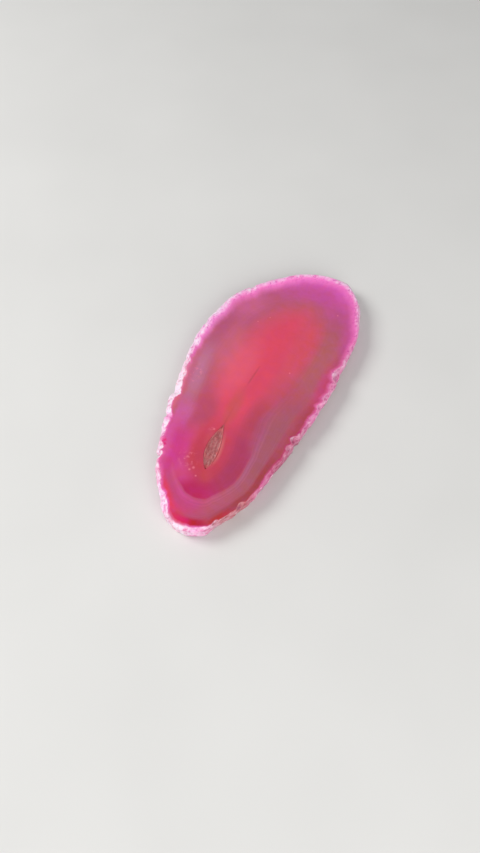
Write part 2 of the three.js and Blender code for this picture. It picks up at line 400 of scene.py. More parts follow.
@dataclass
class BandedSlab:
    """The stone itself: sawn and polished faces, broken edge, rough skin and open pocket."""

    growth: Growth
    name: str = "banded_agate"
    wall_rows: int = 24
    edge_rows: int = 12
    outer_rows: int = 18
    heart_rows: int = 18
    under_rows: int = 12
    pocket_rows: int = 10
    # How wide the broken edge is between the skin and the polished face, round the rim
    broken_width: Knots = (
        (0.0, 0.75), (0.03, 0.6), (0.06, 0.25), (0.09, 0.3), (0.125, 0.5), (0.167, 0.5), (0.2, 0.6),
        (0.25, 0.7), (0.31, 0.8), (0.34, 0.6), (0.38, 0.45), (0.42, 0.75), (0.46, 0.85), (0.5, 0.8),
        (0.54, 0.8), (0.6, 1.05), (0.66, 1.4), (0.7, 1.5), (0.75, 1.7), (0.79, 1.75), (0.835, 1.75),
        (0.87, 1.15), (0.93, 0.9), (0.96, 1.6),
    )
    # Its plain share of that width, what a scallop adds, and the least width that is left
    broken_plain: float = 0.75
    broken_scalloped: float = 0.3
    broken_least: float = 0.18
    ragged: Grain = Grain(4.2, 3.1, 0.5)
    frills: tuple[Grain, ...] = (Grain(2.1, 5.3, 0.22), Grain(0.9, 7.7, 0.13))
    # How deep down the wall the break reaches, round the rim
    broken_drop: Knots = (
        (0.0, 0.4), (0.06, 0.25), (0.12, 0.22), (0.2, 0.22), (0.3, 0.25), (0.37, 0.35), (0.41, 0.95),
        (0.45, 1.05), (0.485, 0.7), (0.514, 0.75), (0.56, 0.65), (0.6, 0.8), (0.64, 0.95), (0.7, 1.1),
        (0.75, 1.05), (0.79, 1.25), (0.835, 1.15), (0.87, 0.6), (0.903, 0.85), (0.931, 0.45),
        (0.958, 0.85), (0.985, 0.3),
    )
    # Its plain share of that depth, and what a scallop and a chip's reach add
    drop_plain: float = 0.8
    drop_scalloped: float = 0.3
    drop_chipped: float = 0.5
    # The scallops along the break, each as a least and a most: their length, how full they are,
    # and the step to the next as a share of the length
    bite_width: Pair = (1.8, 6.5)
    bite_size: Pair = (0.3, 1.0)
    bite_step: Pair = (0.75, 1.05)
    bite_seed: int = 4
    # How far the lower half of the wall stands back under the upper half, round the rim
    undercut: Knots = (
        (0.0, 0.2), (0.03, 0.2), (0.06, 0.6), (0.09, 0.5), (0.13, 0.5), (0.155, 0.2), (0.205, 0.2),
        (0.24, 0.6), (0.3, 0.7), (0.4, 0.6), (0.5, 0.4), (0.6, 0.3), (0.9, 0.3),
    )
    undercut_from: float = 3.0
    # The wall's foot curves in by this much over this height, and a bevel leads to the under-face
    foot_depth: float = 0.3
    foot_height: float = 0.7
    under_bevel: float = 0.25
    # How far in from the broken edge the rind's glow reaches, round the rim
    glow_width: Knots = (
        (0.0, 0.9), (0.03, 0.4), (0.06, 0.2), (0.09, 0.2), (0.125, 0.5), (0.167, 0.6), (0.208, 0.8),
        (0.25, 1.0), (0.292, 1.4), (0.333, 1.8), (0.375, 2.0), (0.417, 3.1), (0.458, 3.5), (0.5, 3.8),
        (0.542, 3.9), (0.583, 4.0), (0.625, 3.9), (0.667, 3.7), (0.708, 2.9), (0.75, 1.6), (0.79, 0.9),
        (0.833, 0.5), (0.875, 0.8), (0.917, 1.3), (0.958, 1.0), (0.98, 1.2),
    )
    # How far the glow's fingers reach and fall short, and that as a least and most share of its width
    streak_reach: float = 0.6
    streak_shares: Pair = (0.18, 0.5)
    # How white the rind is, round the rim
    whiteness: Knots = (
        (0.0, 0.9), (0.02, 0.75), (0.042, 0.5), (0.06, 0.25), (0.083, 0.15), (0.125, 0.15), (0.167, 0.18),
        (0.208, 0.35), (0.25, 0.25), (0.292, 0.35), (0.333, 0.45), (0.375, 0.2), (0.43, 0.75), (0.5, 0.9),
        (0.56, 0.75), (0.62, 0.8), (0.68, 0.95), (0.72, 1.0), (0.77, 1.0), (0.842, 1.0), (0.848, 0.35),
        (0.854, 0.95), (0.872, 0.9), (0.879, 0.1), (0.886, 0.95), (0.917, 0.85), (0.958, 1.0),
    )
    # Over how many steps the whiteness evens out low on the wall, and the heights where that ends
    white_spread: int = 90
    white_heights: Pair = (2.4, 4.4)
    # Ripples of the skin: whole waves round the rim, height and phase
    ripples: tuple[tuple[int, float, float], ...] = ((17, 0.08, 0.4), (29, 0.08, 2.1), (53, 0.05, 4.4))
    # Lumps of the skin, which fade to their least share over a height at the wall's foot and top
    lump_height: float = 0.1
    lump_waves: tuple[int, int] = (31, 47)
    lump_rise: float = 1.9
    lump_fade: float = 1.2
    lump_least: float = 0.3
    # The skin is smoother at the broad end: its roughness there, and where that begins and is full
    smooth_end_share: float = 0.35
    smooth_from_y: float = 10.0
    smooth_to_y: float = 36.0
    grains: tuple[Grain, ...] = (Grain(2.6, 23.4, 0.2), Grain(1.1, 9.9, 0.14), Grain(0.55, 4.95, 0.065))
    # The share of the grains' height that a smooth skin keeps
    grain_least: float = 0.5
    # Pits of the break, which fade over a third of it at each side and where it is narrow
    pit_height: float = 0.12
    pit_grains: tuple[Grain, ...] = (Grain(1.5, 9.4), Grain(0.6, 2.2, 0.35))
    pit_fade: float = 3.0
    pit_widths: Pair = (0.3, 1.3)
    # The pits' depth, times this, darkens them as painted shade
    pit_shade: float = 1.6
    # The break's section: below 1 it bulges, above 1 it is hollow, and a chip adds to it. Its
    # outer side lies at least this much below the face
    section: float = 0.62
    section_chipped: float = 0.9
    edge_dip: float = 0.02
    chips: tuple[Chip, ...] = (
        Chip(16.8, -10.3, 1.3, 0.7, 0.5),
        Chip(15.9, -12.9, 1.0, 0.15, 0.4),
        Chip(19.7, 12.2, 2.8, 0.3, 0.8),
        Chip(19.4, 4.4, 1.4, 0.1, 0.5),
        Chip(18.7, 1.2, 1.1, 0.25, 0.4),
        Chip(11.3, -31.6, 1.5, 0.12, 0.6),
        Chip(7.8, -37.9, 1.2, 0.15, 0.6),
        Chip(-7.4, -37.2, 1.2, 0.4, 0.2),
        Chip(-12.9, -27.4, 1.1, 0.55, 0.2),
        Chip(-13.6, -25.2, 1.3, 0.1, 0.6),
        Chip(-16.1, -16.4, 0.9, 0.35, 0.0),
        Chip(-17.7, -9.0, 1.2, 0.3, 0.35),
        Chip(-19.0, 0.9, 1.0, 0.25, 0.1),
        Chip(-18.6, 12.9, 1.2, 0.15, 0.5),
        Chip(-12.3, 29.6, 1.2, 0.35, 0.4),
    )
    # Painted shade at a chip's outer side and painted highlight at its inner, told as depths of a hollow
    chip_shade: float = 0.3
    chip_highlight: float = 0.1
    # The share of the way in over the break where its inner side begins
    inner_from: float = 0.5
    # How bright the painted highlight on the crest along the outer side of the break is, and the patches it
    # lies in
    crest_highlight: float = 0.17
    crest_cover: float = 0.35
    crest_patches: Grain = Grain(1.3, 6.1)
    # How far outside the broken edge the top of the wall counts as lying
    wall_beyond: float = 1.0
    crease_deg: float = 32.0

    def __post_init__(self) -> None:
        """Works out the slab's thickness, the rays that lead in from its rim and its broken edge."""
        low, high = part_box("banded-slab")
        self.top = high.z / MM
        self.low, self.high = np.array(low) / MM, np.array(high) / MM
        core = self.growth.core(with_pocket=True)
        self.reach = np.linalg.norm(core - self.growth.rim, axis=1)
        self.ray = (core - self.growth.rim) / self.reach[:, None]
        self.chipped, self.chip_reach = self._chipped()
        self.rough_share = 1 - (1 - self.smooth_end_share) * smoothstep(
            self.smooth_from_y, self.smooth_to_y, self.growth.rim[:, 1]
        )
        self.bitten = self._bitten()
        self.broken = self._broken()
        self.glow = round_the_rim(self.glow_width, self.growth.share)
        self.streaks = np.clip(self.streak_reach / self.glow, *self.streak_shares)
        self.white = round_the_rim(self.whiteness, self.growth.share)
        near = np.hanning(self.white_spread) / np.hanning(self.white_spread).sum()
        wrapped = np.tile(self.white, 3)
        self.white_below = np.convolve(wrapped, near, mode="same")[self.growth.steps : 2 * self.growth.steps]

    def _chipped(self) -> tuple[Array, Array]:
        """Adds up the chips at every step round the rim.

        Returns:
            How deep they bite into the outline, and how far over the face they reach.
        """
        rim = self.growth.rim
        bite, over = np.zeros(self.growth.steps), np.zeros(self.growth.steps)
        for chip in self.chips:
            away = np.hypot(rim[:, 0] - chip.x, rim[:, 1] - chip.y) / chip.width
            here = np.clip(1 - away**2, 0, 1)
            bite += chip.depth * here
            over += (chip.depth + chip.reach) * here
        return bite, over

    def _bitten(self) -> Array:
        """Sets the scallops that broke out along the polished edge.

        Returns:
            0 between the scallops and up to 1 inside them, at each step.
        """
        chance = np.random.default_rng(self.bite_seed)
        full = np.zeros(self.growth.steps)
        start = 0.0
        while start < self.growth.perimeter - self.bite_width[1]:
            wide = chance.uniform(*self.bite_width)
            size = chance.uniform(*self.bite_size)
            across = 2 * (self.growth.run - start) / wide - 1
            full = np.maximum(full, size * np.sqrt(np.clip(1 - across**2, 0, 1)))
            start += wide * chance.uniform(*self.bite_step)
        return full

    def _broken(self) -> Array:
        """Works out how wide the break is: ragged, and wider at scallops and chips.

        Returns:
            How far in from the rim the polished face stops, at each step.
        """
        rim = np.column_stack([self.growth.rim, np.zeros(self.growth.steps)])
        wide = round_the_rim(self.broken_width, self.growth.share)
        ragged = self.broken_plain + self.broken_scalloped * self.bitten + self.ragged.at(rim)
        frilled = sum(frill.at(rim) for frill in self.frills) * self.rough_share
        return np.maximum(wide * ragged + frilled, self.broken_least) + self.chip_reach

    def _relief(self, height: float, share_of_lumps: float) -> Array:
        """Adds up the skin's ripples, lumps and chips at one height of the wall.

        Args:
            height: The height above the table.
            share_of_lumps: How much of the lumps' height shows.

        Returns:
            How far the skin stands in from the outline, at each step.
        """
        turn = self.growth.share * TAU
        ripple = sum(tall * np.sin(waves * turn + phase) for waves, tall, phase in self.ripples)
        climb = height * self.lump_rise
        lump = np.sin(self.lump_waves[0] * turn + climb) * np.cos(self.lump_waves[1] * turn - climb)
        rough = (ripple + share_of_lumps * self.lump_height * lump) * self.rough_share
        return self.chipped - rough

    def _stood_back(self, height: float) -> Array:
        """How far the wall stands back at one height, where it is undercut."""
        share = float(smoothstep(0.0, 1.0, np.array(1 - height / self.undercut_from)))
        return round_the_rim(self.undercut, self.growth.share) * share

    def _row(self, inward: Array, height: Array | float) -> Array:
        """Places at a depth in from the rim, along each step's ray."""
        flat = self.growth.rim + self.ray * inward[:, None]
        return np.column_stack([flat, np.broadcast_to(height, inward.shape)])

    def _inward(self, places: Array) -> Array:
        """How far in from the rim a row's places lie, along each step's ray."""
        return np.einsum("ij,ij->i", places[:, :2] - self.growth.rim, self.ray)

    def _skin_rows(self) -> tuple[Array, Array]:
        """The wall from the table up to the broken edge.

        Returns:
            The rows' places, and how deep each lies in the skin's hollows.
        """
        drop = round_the_rim(self.broken_drop, self.growth.share)
        drop = drop * (self.drop_plain + self.drop_scalloped * self.bitten)
        shoulder = self.top - drop - self.drop_chipped * self.chip_reach
        rows = []
        for number in range(self.wall_rows):
            height = shoulder * ((number + 0.5) / self.wall_rows)
            nominal = float(np.mean(height))
            from_ends = np.array([nominal, self.top - nominal]) / self.lump_fade
            lumps = float(np.clip(from_ends, self.lump_least, 1.0).prod())
            foot = self.foot_depth * max(1 - nominal / self.foot_height, 0) ** 2
            rows.append(self._row(self._relief(nominal, lumps) + foot + self._stood_back(nominal), height))
        plain = np.array(rows)
        deeper = sum(grain.at(plain) for grain in self.grains)
        deeper = deeper * (self.grain_least + (1 - self.grain_least) * self.rough_share)
        plain[..., :2] += self.ray[None] * deeper[..., None]
        return plain, deeper

    def _edge_rows(self, shoulder: Array) -> list[tuple[Array, Array]]:
        """The broken edge, from the top of the skin up and in to the polished face.

        Args:
            shoulder: The topmost row of the skin.

        Returns:
            Rows of places, the last of them on the polished face, and how deep they are pitted,
            with the painted shade of pits and chips and the painted highlight on the crest added in.
        """
        start = self._inward(shoulder)
        drop = self.top - shoulder[:, 2]
        in_chip = np.clip(self.chip_reach, 0, 1)
        section = self.section + self.section_chipped * in_chip
        rows = []
        for number in range(1, self.edge_rows + 1):
            share = number / self.edge_rows
            inward = start + (self.broken - start) * share
            plain = self._row(inward, self.top - drop * (1 - share**section))
            fade = min(1.0, self.pit_fade * share) * min(1.0, self.pit_fade * (1 - share))
            fade = fade * np.clip(self.broken, *self.pit_widths)
            pits = sum(grain.at(plain) for grain in self.pit_grains)
            pitted = self.pit_height * fade * pits * self.rough_share
            plain[:, 2] = np.minimum(plain[:, 2] - pitted, self.top - self.edge_dip * (1 - share))
            # The hollow measure gets painted shade for pits and a chip's outer side, and painted highlight
            # for a chip's inner side and the crest
            inner = float(smoothstep(self.inner_from, 1.0, np.array(share)))
            chip_shading = self.chip_shade * (1 - share) ** 2 - self.chip_highlight * inner
            lit_crest = np.clip(self.crest_cover + self.crest_patches.at(plain), 0, 1) * (1 - share) ** 2
            rows.append((plain, self.pit_shade * pitted + chip_shading * in_chip - self.crest_highlight * lit_crest))
        return rows

    def _grown(self, inward: Array, reach: Array) -> Array:
        """Measures growth: 0 at the rim, a half at the heart's edge and 1 at the core.

        Args:
            inward: How far in from the rim a row's places lie.
            reach: How far in the core lies.

        Returns:
            The growth at each place.
        """
        share = np.clip(inward / reach, 0, 1)
        edge = self.growth.heart
        outer = AT_HEART * share / edge
        return np.where(share < edge, outer, AT_HEART + (1 - AT_HEART) * (share - edge) / (1 - edge))

    def build(self) -> bpy.types.Object:
        """Makes the slab's mesh with the measures that its finish reads.

        Returns:
            The slab, from the middle of its under-face round to the bottom of its pocket.
        """
        rows = []
        nothing = np.zeros(self.growth.steps)
        core = self.growth.core(with_pocket=False)
        reach = np.linalg.norm(core - self.growth.rim, axis=1)
        ray = (core - self.growth.rim) / reach[:, None]
        start = self._relief(0.0, self.lump_least) + self._stood_back(0.0)
        start = start + self.foot_depth + self.under_bevel
        for number in range(self.under_rows + 1):
            inward = reach + (start - reach) * number / self.under_rows
            places = np.column_stack([self.growth.rim + ray * inward[:, None], nothing])
            rows.append((places, inward, reach, inward - start, nothing))
        skin, hollows = self._skin_rows()
        for places, deep in zip(skin, hollows):
            rows.append((places, nothing, self.reach, places[:, 2] - self.top - self.wall_beyond, deep))
        for places, pitted in self._edge_rows(skin[-1]):
            inward = self._inward(places)
            rows.append((places, inward, self.reach, inward - self.broken, pitted))
        heart = self.growth.heart * self.reach
        zones = (self.broken, heart, self.outer_rows), (heart, self.reach, self.heart_rows)
        for first, last, count in zones:
            for number in range(1, count + 1):
                inward = first + (last - first) * number / count
                rows.append((self._row(inward, self.top), inward, self.reach, inward - self.broken, nothing))
        for places in self._pocket_rows():
            rows.append((places, self.reach, self.reach - places[:, 2] + self.top, self.reach, nothing))
        return self._skinned_mesh(rows)

    def _pocket_rows(self) -> list[Array]:
        """Lines the pocket, each side down to the middle of its floor, and closes it along the seam.

        Returns:
            The rows' places, from the face down.
        """
        growth = self.growth
        middle = np.column_stack([growth.middle_x, growth.core_y, np.full(growth.steps, self.top)])
        rows = []
        for number in range(1, self.pocket_rows + 1):
            down = number / self.pocket_rows * math.pi / 2
            turn = np.where(growth.side > 0, down, math.pi - down)
            wall = growth.pocket.surface(np.clip(growth.from_tip, 0, 1), turn, 0.0, self.top)
            rows.append(np.where((growth.from_tip > 0)[:, None], wall, middle))
        return rows

    def _skinned_mesh(self, rows: list[tuple[Array, ...]]) -> bpy.types.Object:
        """Joins the rows into one closed skin inside the solid's box.

        Args:
            rows: For each row its places, how far in from the rim they lie, how far the core
                is, how far in from the broken edge they lie and how deep in the skin's hollows,
                which the finish turns into painted shade and painted highlight.

        Returns:
            The slab's object.
        """
        places, inward, reach, from_edge, hollow = (np.array(part) for part in zip(*rows))
        number = np.arange(inward.size).reshape(inward.shape)
        after = np.roll(number, -1, 1)
        faces = np.stack([number[:-1], after[:-1], after[1:], number[1:]], -1).reshape(-1, 4).tolist()
        angle = TAU * self.growth.run / self.growth.perimeter
        circle = self.growth.perimeter / TAU
        round_rim = np.stack([np.cos(angle) * circle, np.sin(angle) * circle], -1)
        fibres = np.dstack([np.broadcast_to(round_rim, (*inward.shape, 2)), inward + places[..., 2]])
        near_top = smoothstep(*self.white_heights, places[..., 2])
        measures = {
            "growth": np.array([self._grown(i, r) for i, r in zip(inward, reach)]).ravel(),
            "glow": (from_edge / self.glow).ravel(),
            "streaks": np.broadcast_to(self.streaks, inward.shape).ravel(),
            "white": (self.white_below + (self.white - self.white_below) * near_top).ravel(),
            # Depth in hollows, with painted shade and painted highlight added in
            "hollow": hollow.ravel(),
            "from_edge": from_edge.ravel(),
            "from_core": np.abs(reach - inward).ravel(),
            "fibres": fibres.reshape(-1, 3),
        }
        slab = mesh_piece(self.name, np.clip(places.reshape(-1, 3), self.low, self.high), faces, measures)
        slab.data.set_sharp_from_angle(angle=math.radians(self.crease_deg))
        return slab

    def dress(self, slab: bpy.types.Object, finish: "DyedAgate") -> None:
        """Gives the slab its finish and its place on the solid.

        Args:
            slab: The slab's object.
            finish: What it is dressed in.
        """
        slab.data.materials.append(finish.material())
        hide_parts("banded-slab")
        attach(slab, "root")


@dataclass
class QuartzCrust:
    """The druse in the pocket: a crust with a shallow floor, grown over with quartz points."""

    growth: Growth
    name: str = "quartz_crust"
    rows_along: int = 72
    rows_across: int = 26
    wall_gap: float = 0.04
    # The share of the pocket's length left free at each end, and the thinnest that the crust gets
    end_share: float = 0.03
    thinnest: float = 0.02
    # Points grow where the pocket is at least this wide, and this near its middle line
    least_full: float = 0.3
    points_reach: float = 0.78
    # The mark on the mesh that lets points grow is 1, and above this it counts
    mark_counts: float = 0.9
    # How far below the polished face the crust meets the wall, and how much deeper its back does
    below_face: float = 0.1
    back_below: float = 0.1
    # At most this share of the wall's depth lies above the crust's back
    back_most: float = 0.98
    # The floor's depth, at most a share of the pocket's, and the power that makes it flat
    floor_depth: float = 0.46
    floor_share: float = 0.55
    floor_power: int = 4
    # Where the pocket is shallow, the crust meets the wall at this share of the floor's depth
    lip_share: float = 0.5
    bump_height: float = 0.07
    bumps: Grain = Grain(0.8, 4.4)
    # A quartz point is a six-sided cone whose middle ring is pushed out and down to a shoulder,
    # and the ring is found by its height, give or take a share of the whole
    point_sides: int = 6
    ring_at: float = 0.5
    ring_slack: float = 0.1
    point_radius: float = 0.34
    point_height: float = 0.17
    point_shoulder: float = 0.4
    shoulder_widening: float = 1.9
    point_tilt_deg: float = 15.0
    point_scales: Pair = (0.55, 1.25)
    point_spacing: float = 0.4
    # Many more a square metre than fit, so that only the spacing counts
    point_density: float = 5e8
    seed: int = 11

    def _floor(self, along: Array, across: Array, top: float) -> Array:
        """Shapes the crust's open side, from the right wall over the floor to the left wall.

        Args:
            along: Shares of the way from the pocket's tip to its heel.
            across: Shares of the way from the right wall to the left.
            top: Height of the face that the pocket opens on.

        Returns:
            One place per entry.
        """
        pocket = self.growth.pocket
        full = np.maximum(pocket.fullness(along), self.thinnest)
        line = pocket.surface(along, np.full_like(along, math.pi / 2), 0.0, top)
        sideways = 1 - 2 * across
        flat = 1 - sideways**self.floor_power
        right = (pocket.half_width - self.wall_gap - pocket.right_lean) * full
        left = (pocket.half_width - self.wall_gap) * full
        x = line[..., 0] + np.where(sideways > 0, sideways * right, sideways * left)
        deepest = np.minimum(self.floor_depth, self.floor_share * pocket.depth * full)
        lip = np.minimum(self.below_face, self.lip_share * deepest)
        places = np.stack([x, line[..., 1], top - (lip + (deepest - lip) * flat)], -1)
        places[..., 2] += self.bump_height * flat * self.bumps.at(places)
        return places

    def _back(self, along: Array, across: Array, top: float) -> Array:
        """Shapes the crust's side that has grown onto the pocket's wall.

        Args:
            along: Shares of the way from the pocket's tip to its heel.
            across: Shares of the way from the right wall to the left.
            top: Height of the face that the pocket opens on.

        Returns:
            One place per entry.
        """
        pocket = self.growth.pocket
        full = np.maximum(pocket.fullness(along), self.thinnest)
        drop = (self.below_face + self.back_below) / ((pocket.depth - self.wall_gap) * full)
        rim_turn = np.arcsin(np.clip(drop, 0, self.back_most) ** (1 / pocket.steepness))
        turn = rim_turn + (math.pi - 2 * rim_turn) * across
        return pocket.surface(along, turn, self.wall_gap, top)

    def bowl(self) -> bpy.types.Object:
        """Makes the closed crust that the points grow on.

        Returns:
            The crust's object, with its open side marked as growing.
        """
        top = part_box("banded-slab")[1].z / MM
        along = self.end_share + (1 - 2 * self.end_share) * np.arange(self.rows_along) / (self.rows_along - 1)
        across = np.arange(self.rows_across) / (self.rows_across - 1)
        along, across = np.meshgrid(along, across, indexing="ij")
        number = np.arange(along.size).reshape(along.shape)
        faces = []
        for first, outwards in ((number, False), (number + number.size, True)):
            corners = first[:-1, :-1], first[1:, :-1], first[1:, 1:], first[:-1, 1:]
            quads = np.stack(corners, -1).reshape(-1, 4)
            faces.extend((quads if outwards else quads[:, ::-1]).tolist())
        border = np.concatenate([number[:, 0], number[-1, 1:], number[-2::-1, -1], number[0, -2:0:-1]])
        beyond = np.roll(border, -1)
        faces.extend(np.column_stack([border, beyond, beyond + number.size, border + number.size]).tolist())
        back, floor = self._back(along, across, top), self._floor(along, across, top)
        places = np.concatenate([back.reshape(-1, 3), floor.reshape(-1, 3)])
        wide = self.growth.pocket.fullness(along) > self.least_full
        open_side = (wide & (np.abs(1 - 2 * across) < self.points_reach)).ravel()
        grows = np.concatenate([np.zeros(number.size), open_side])
        return mesh_piece(self.name, places, faces, {"grows": grows})

    def points_tree(self, material: bpy.types.Material) -> tuple[Tree, dict[str, str]]:
        """Builds the tree that scatters quartz points over the growing side of the bowl.

        Args:
            material: The finish of the crust.

        Returns:
            The tree, and the socket identifier of each named input.
        """
        tree = bpy.data.node_groups.new("quartz_points", "GeometryNodeTree")
        tree.interface.new_socket("Geometry", in_out="INPUT", socket_type="NodeSocketGeometry")
        kinds = dict.fromkeys(("Radius", "Height", "Spacing", "Shoulder", "Tilt"), "NodeSocketFloat")
        sockets = {}
        for label, kind in (kinds | {"Seed": "NodeSocketInt"}).items():
            sockets[label] = tree.interface.new_socket(label, in_out="INPUT", socket_type=kind).identifier
        tree.interface.new_socket("Geometry", in_out="OUTPUT", socket_type="NodeSocketGeometry")
        given = add(tree, "NodeGroupInput").outputs
        point = self._point(tree, given["Radius"], given["Height"], given["Shoulder"])
        grows = add(tree, "GeometryNodeInputNamedAttribute", {"Name": "grows"}, data_type="FLOAT")
        marked = add(tree, "FunctionNodeCompare", {0: grows, 1: self.mark_counts}, operation="GREATER_THAN")
        spread = {
            "Mesh": given["Geometry"],
            "Selection": marked,
            "Distance Min": given["Spacing"],
            "Density Max": self.point_density,
            "Seed": given["Seed"],
        }
        places = add(tree, "GeometryNodeDistributePointsOnFaces", spread, distribute_method="POISSON")
        scattered = places.outputs
        tilt, seed = given["Tilt"], given["Seed"]
        down = add(tree, "ShaderNodeMath", {0: tilt, 1: -1.0}, operation="MULTIPLY")
        least = add(tree, "ShaderNodeCombineXYZ", {"X": down, "Y": down, "Z": -math.pi})
        most = add(tree, "ShaderNodeCombineXYZ", {"X": tilt, "Y": tilt, "Z": math.pi})
        leans = {0: least, 1: most, "Seed": seed}
        lean = add(tree, "FunctionNodeRandomValue", leans, data_type="FLOAT_VECTOR")
        turn = {"Rotation": scattered["Rotation"], "Rotate By": lean}
        turned = add(tree, "FunctionNodeRotateRotation", turn, rotation_space="LOCAL")
        scales = {2: self.point_scales[0], 3: self.point_scales[1], "Seed": seed}
        scale = add(tree, "FunctionNodeRandomValue", scales, data_type="FLOAT").outputs[1]
        stood = {"Points": scattered["Points"], "Instance": point, "Rotation": turned, "Scale": scale}
        grown = add(tree, "GeometryNodeInstanceOnPoints", stood)
        real = add(tree, "GeometryNodeRealizeInstances", {"Geometry": grown})
        joined = add(tree, "GeometryNodeJoinGeometry", {"Geometry": given["Geometry"]})
        tree.links.new(real.outputs[0], joined.inputs["Geometry"])
        whole = add(tree, "GeometryNodeRealizeInstances", {"Geometry": joined})
        dressed = add(tree, "GeometryNodeSetMaterial", {"Geometry": whole, "Material": material})
        add(tree, "NodeGroupOutput", {"Geometry": dressed})
        return tree, sockets

    def _point(self, tree: Tree, radius: Out, height: Out, shoulder: Out) -> Out:
        """Makes one quartz point: a cone whose middle ring is widened and moved to the shoulder.

        Args:
            tree: The tree that gets the nodes.
            radius: The cone's radius at its foot.
            height: Its height.
            shoulder: The shoulder's height, as a share of the whole.

        Returns:
            The point's mesh.
        """
        cone = {
            "Vertices": self.point_sides,
            "Side Segments": 2,
            "Radius Top": 0.0,
            "Radius Bottom": radius,
            "Depth": height,
        }
        mesh = add(tree, "GeometryNodeMeshCone", cone, fill_type="NGON").outputs["Mesh"]
        place = add(tree, "GeometryNodeInputPosition")
        own_height = add(tree, "ShaderNodeSeparateXYZ", {0: place}).outputs["Z"]
        half, slack, raised = (
            add(tree, "ShaderNodeMath", {0: height, 1: share}, operation="MULTIPLY")
            for share in (self.ring_at, self.ring_slack, shoulder)
        )
        ring = {0: own_height, 1: half, COMPARE_SLACK: slack}
        in_ring = add(tree, "FunctionNodeCompare", ring, operation="EQUAL")
        widened = {0: place, "Scale": self.shoulder_widening}
        wide = add(tree, "ShaderNodeVectorMath", widened, operation="SCALE")
        wide = add(tree, "ShaderNodeSeparateXYZ", {0: wide}).outputs
        moved = add(tree, "ShaderNodeCombineXYZ", {"X": wide["X"], "Y": wide["Y"], "Z": raised})
        shaped = {"Geometry": mesh, "Selection": in_ring, "Position": moved}
        return add(tree, "GeometryNodeSetPosition", shaped)

    def build(self, finish: "DyedQuartz") -> bpy.types.Object:
        """Grows the points on the bowl and turns the result into a plain mesh.

        Args:
            finish: The crust's finish.

        Returns:
            The crust's object with no live modifier.
        """
        crust = self.bowl()
        tree, sockets = self.points_tree(finish.material())
        modifier = crust.modifiers.new("quartz points", "NODES")
        modifier.node_group = tree
        sizes = {
            "Radius": self.point_radius * MM,
            "Height": self.point_height * MM,
            "Spacing": self.point_spacing * MM,
            "Shoulder": self.point_shoulder,
            "Tilt": math.radians(self.point_tilt_deg),
            "Seed": self.seed,
        }
        for label, value in sizes.items():
            modifier[sockets[label]] = value
        graph = bpy.context.evaluated_depsgraph_get()
        grown = bpy.data.meshes.new_from_object(crust.evaluated_get(graph))
        crust.modifiers.clear()
        crust.data = grown
        crust.data.shade_flat()
        return crust

    def dress(self, crust: bpy.types.Object) -> None:
        """Gives the crust its place on the solid.

        Args:
            crust: The crust's object.
        """
        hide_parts("crystal-crust")
        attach(crust, "root")


@dataclass(frozen=True)
class Fade:
    """A change from a start at a low value to an end at a high one."""

    low: float
    high: float
    start: float = 1.0
    end: float = 0.0

    def on(self, value: Out) -> dict:
        """The inputs of a Map Range node that makes the change."""
        ends = {"From Min": self.low, "From Max": self.high, "To Min": self.start, "To Max": self.end}
        return {"Value": value, **ends}


@dataclass(frozen=True)
class Clouds:
    """Soft noise in a finish: its size in millimetres, its detail and how far it swings."""

    size: float
    detail: float = 2.0
    swing: float = 0.0
    roughness: float = 0.5

    def on(self, vector: Out, unit: float = MM) -> dict:
        """The inputs of a noise texture that draws it over a vector in a unit of length."""
        scale = 1 / (self.size * unit)
        return {"Vector": vector, "Scale": scale, "Detail": self.detail, "Roughness": self.roughness}

    def swinging(self, tree: Tree, place: Out) -> Out:
        """Draws it from minus to plus its swing."""
        cloud = add(tree, "ShaderNodeTexNoise", self.on(place))
        return add(tree, "ShaderNodeMapRange", Fade(NOISE_LOW, NOISE_HIGH, -self.swing, self.swing).on(cloud))


@dataclass(frozen=True)
class Patch:
    """A soft oval on the slice seen from above: its middle and half sizes in millimetres.

    It may keep to a range of growth, each end of which is softened by its own amount. A range
    that goes beyond 0 or 1 is open there. A patch without a colour only marks a place.
    """

    name: str
    colour: str | None
    centre: Pair
    radii: Pair
    grown: Pair = (-1, 2)
    soft: Pair = (0, 0)
    strength: float = 1.0
    # The share of its size over which it keeps its full strength
    full_share: float = 0.25

    def mask(self, tree: Tree, place: Out, growth: Out | None = None) -> Out:
        """Works out how strong the patch is at each place.

        Args:
            tree: The tree that gets the nodes.
            place: The piece's own coordinates.
            growth: The measure that the patch keeps to a range of, if it does.

        Returns:
            Its strength from 0 to 1.
        """
        (x, y), (wide, long) = self.centre, self.radii
        spread = {"Vector": place, "Location": (x * MM, y * MM, 0.0), "Scale": (wide * MM, long * MM, 1.0)}
        at = add(tree, "ShaderNodeMapping", spread, vector_type="TEXTURE", label=self.name)
        away = add(tree, "ShaderNodeVectorMath", {0: at}, operation="LENGTH").outputs["Value"]
        oval = Fade(self.full_share, 1.0, self.strength, 0.0).on(away)
        mask = add(tree, "ShaderNodeMapRange", oval, interpolation_type="SMOOTHSTEP")
        (low, high), (soft_low, soft_high) = self.grown, self.soft
        if low > 0:
            mask = faded(tree, mask, growth, Fade(low - soft_low, low + soft_low, 0.0, 1.0))
        if high < 1:
            mask = faded(tree, mask, growth, Fade(high - soft_high, high + soft_high, 1.0, 0.0))
        return mask


def faded(tree: Tree, amount: Out, value: Out, fade: Fade) -> Out:
    """Multiplies an amount by what a value has smoothly faded to."""
    share = add(tree, "ShaderNodeMapRange", fade.on(value), interpolation_type="SMOOTHSTEP")
    return add(tree, "ShaderNodeMath", {0: amount, 1: share}, operation="MULTIPLY")


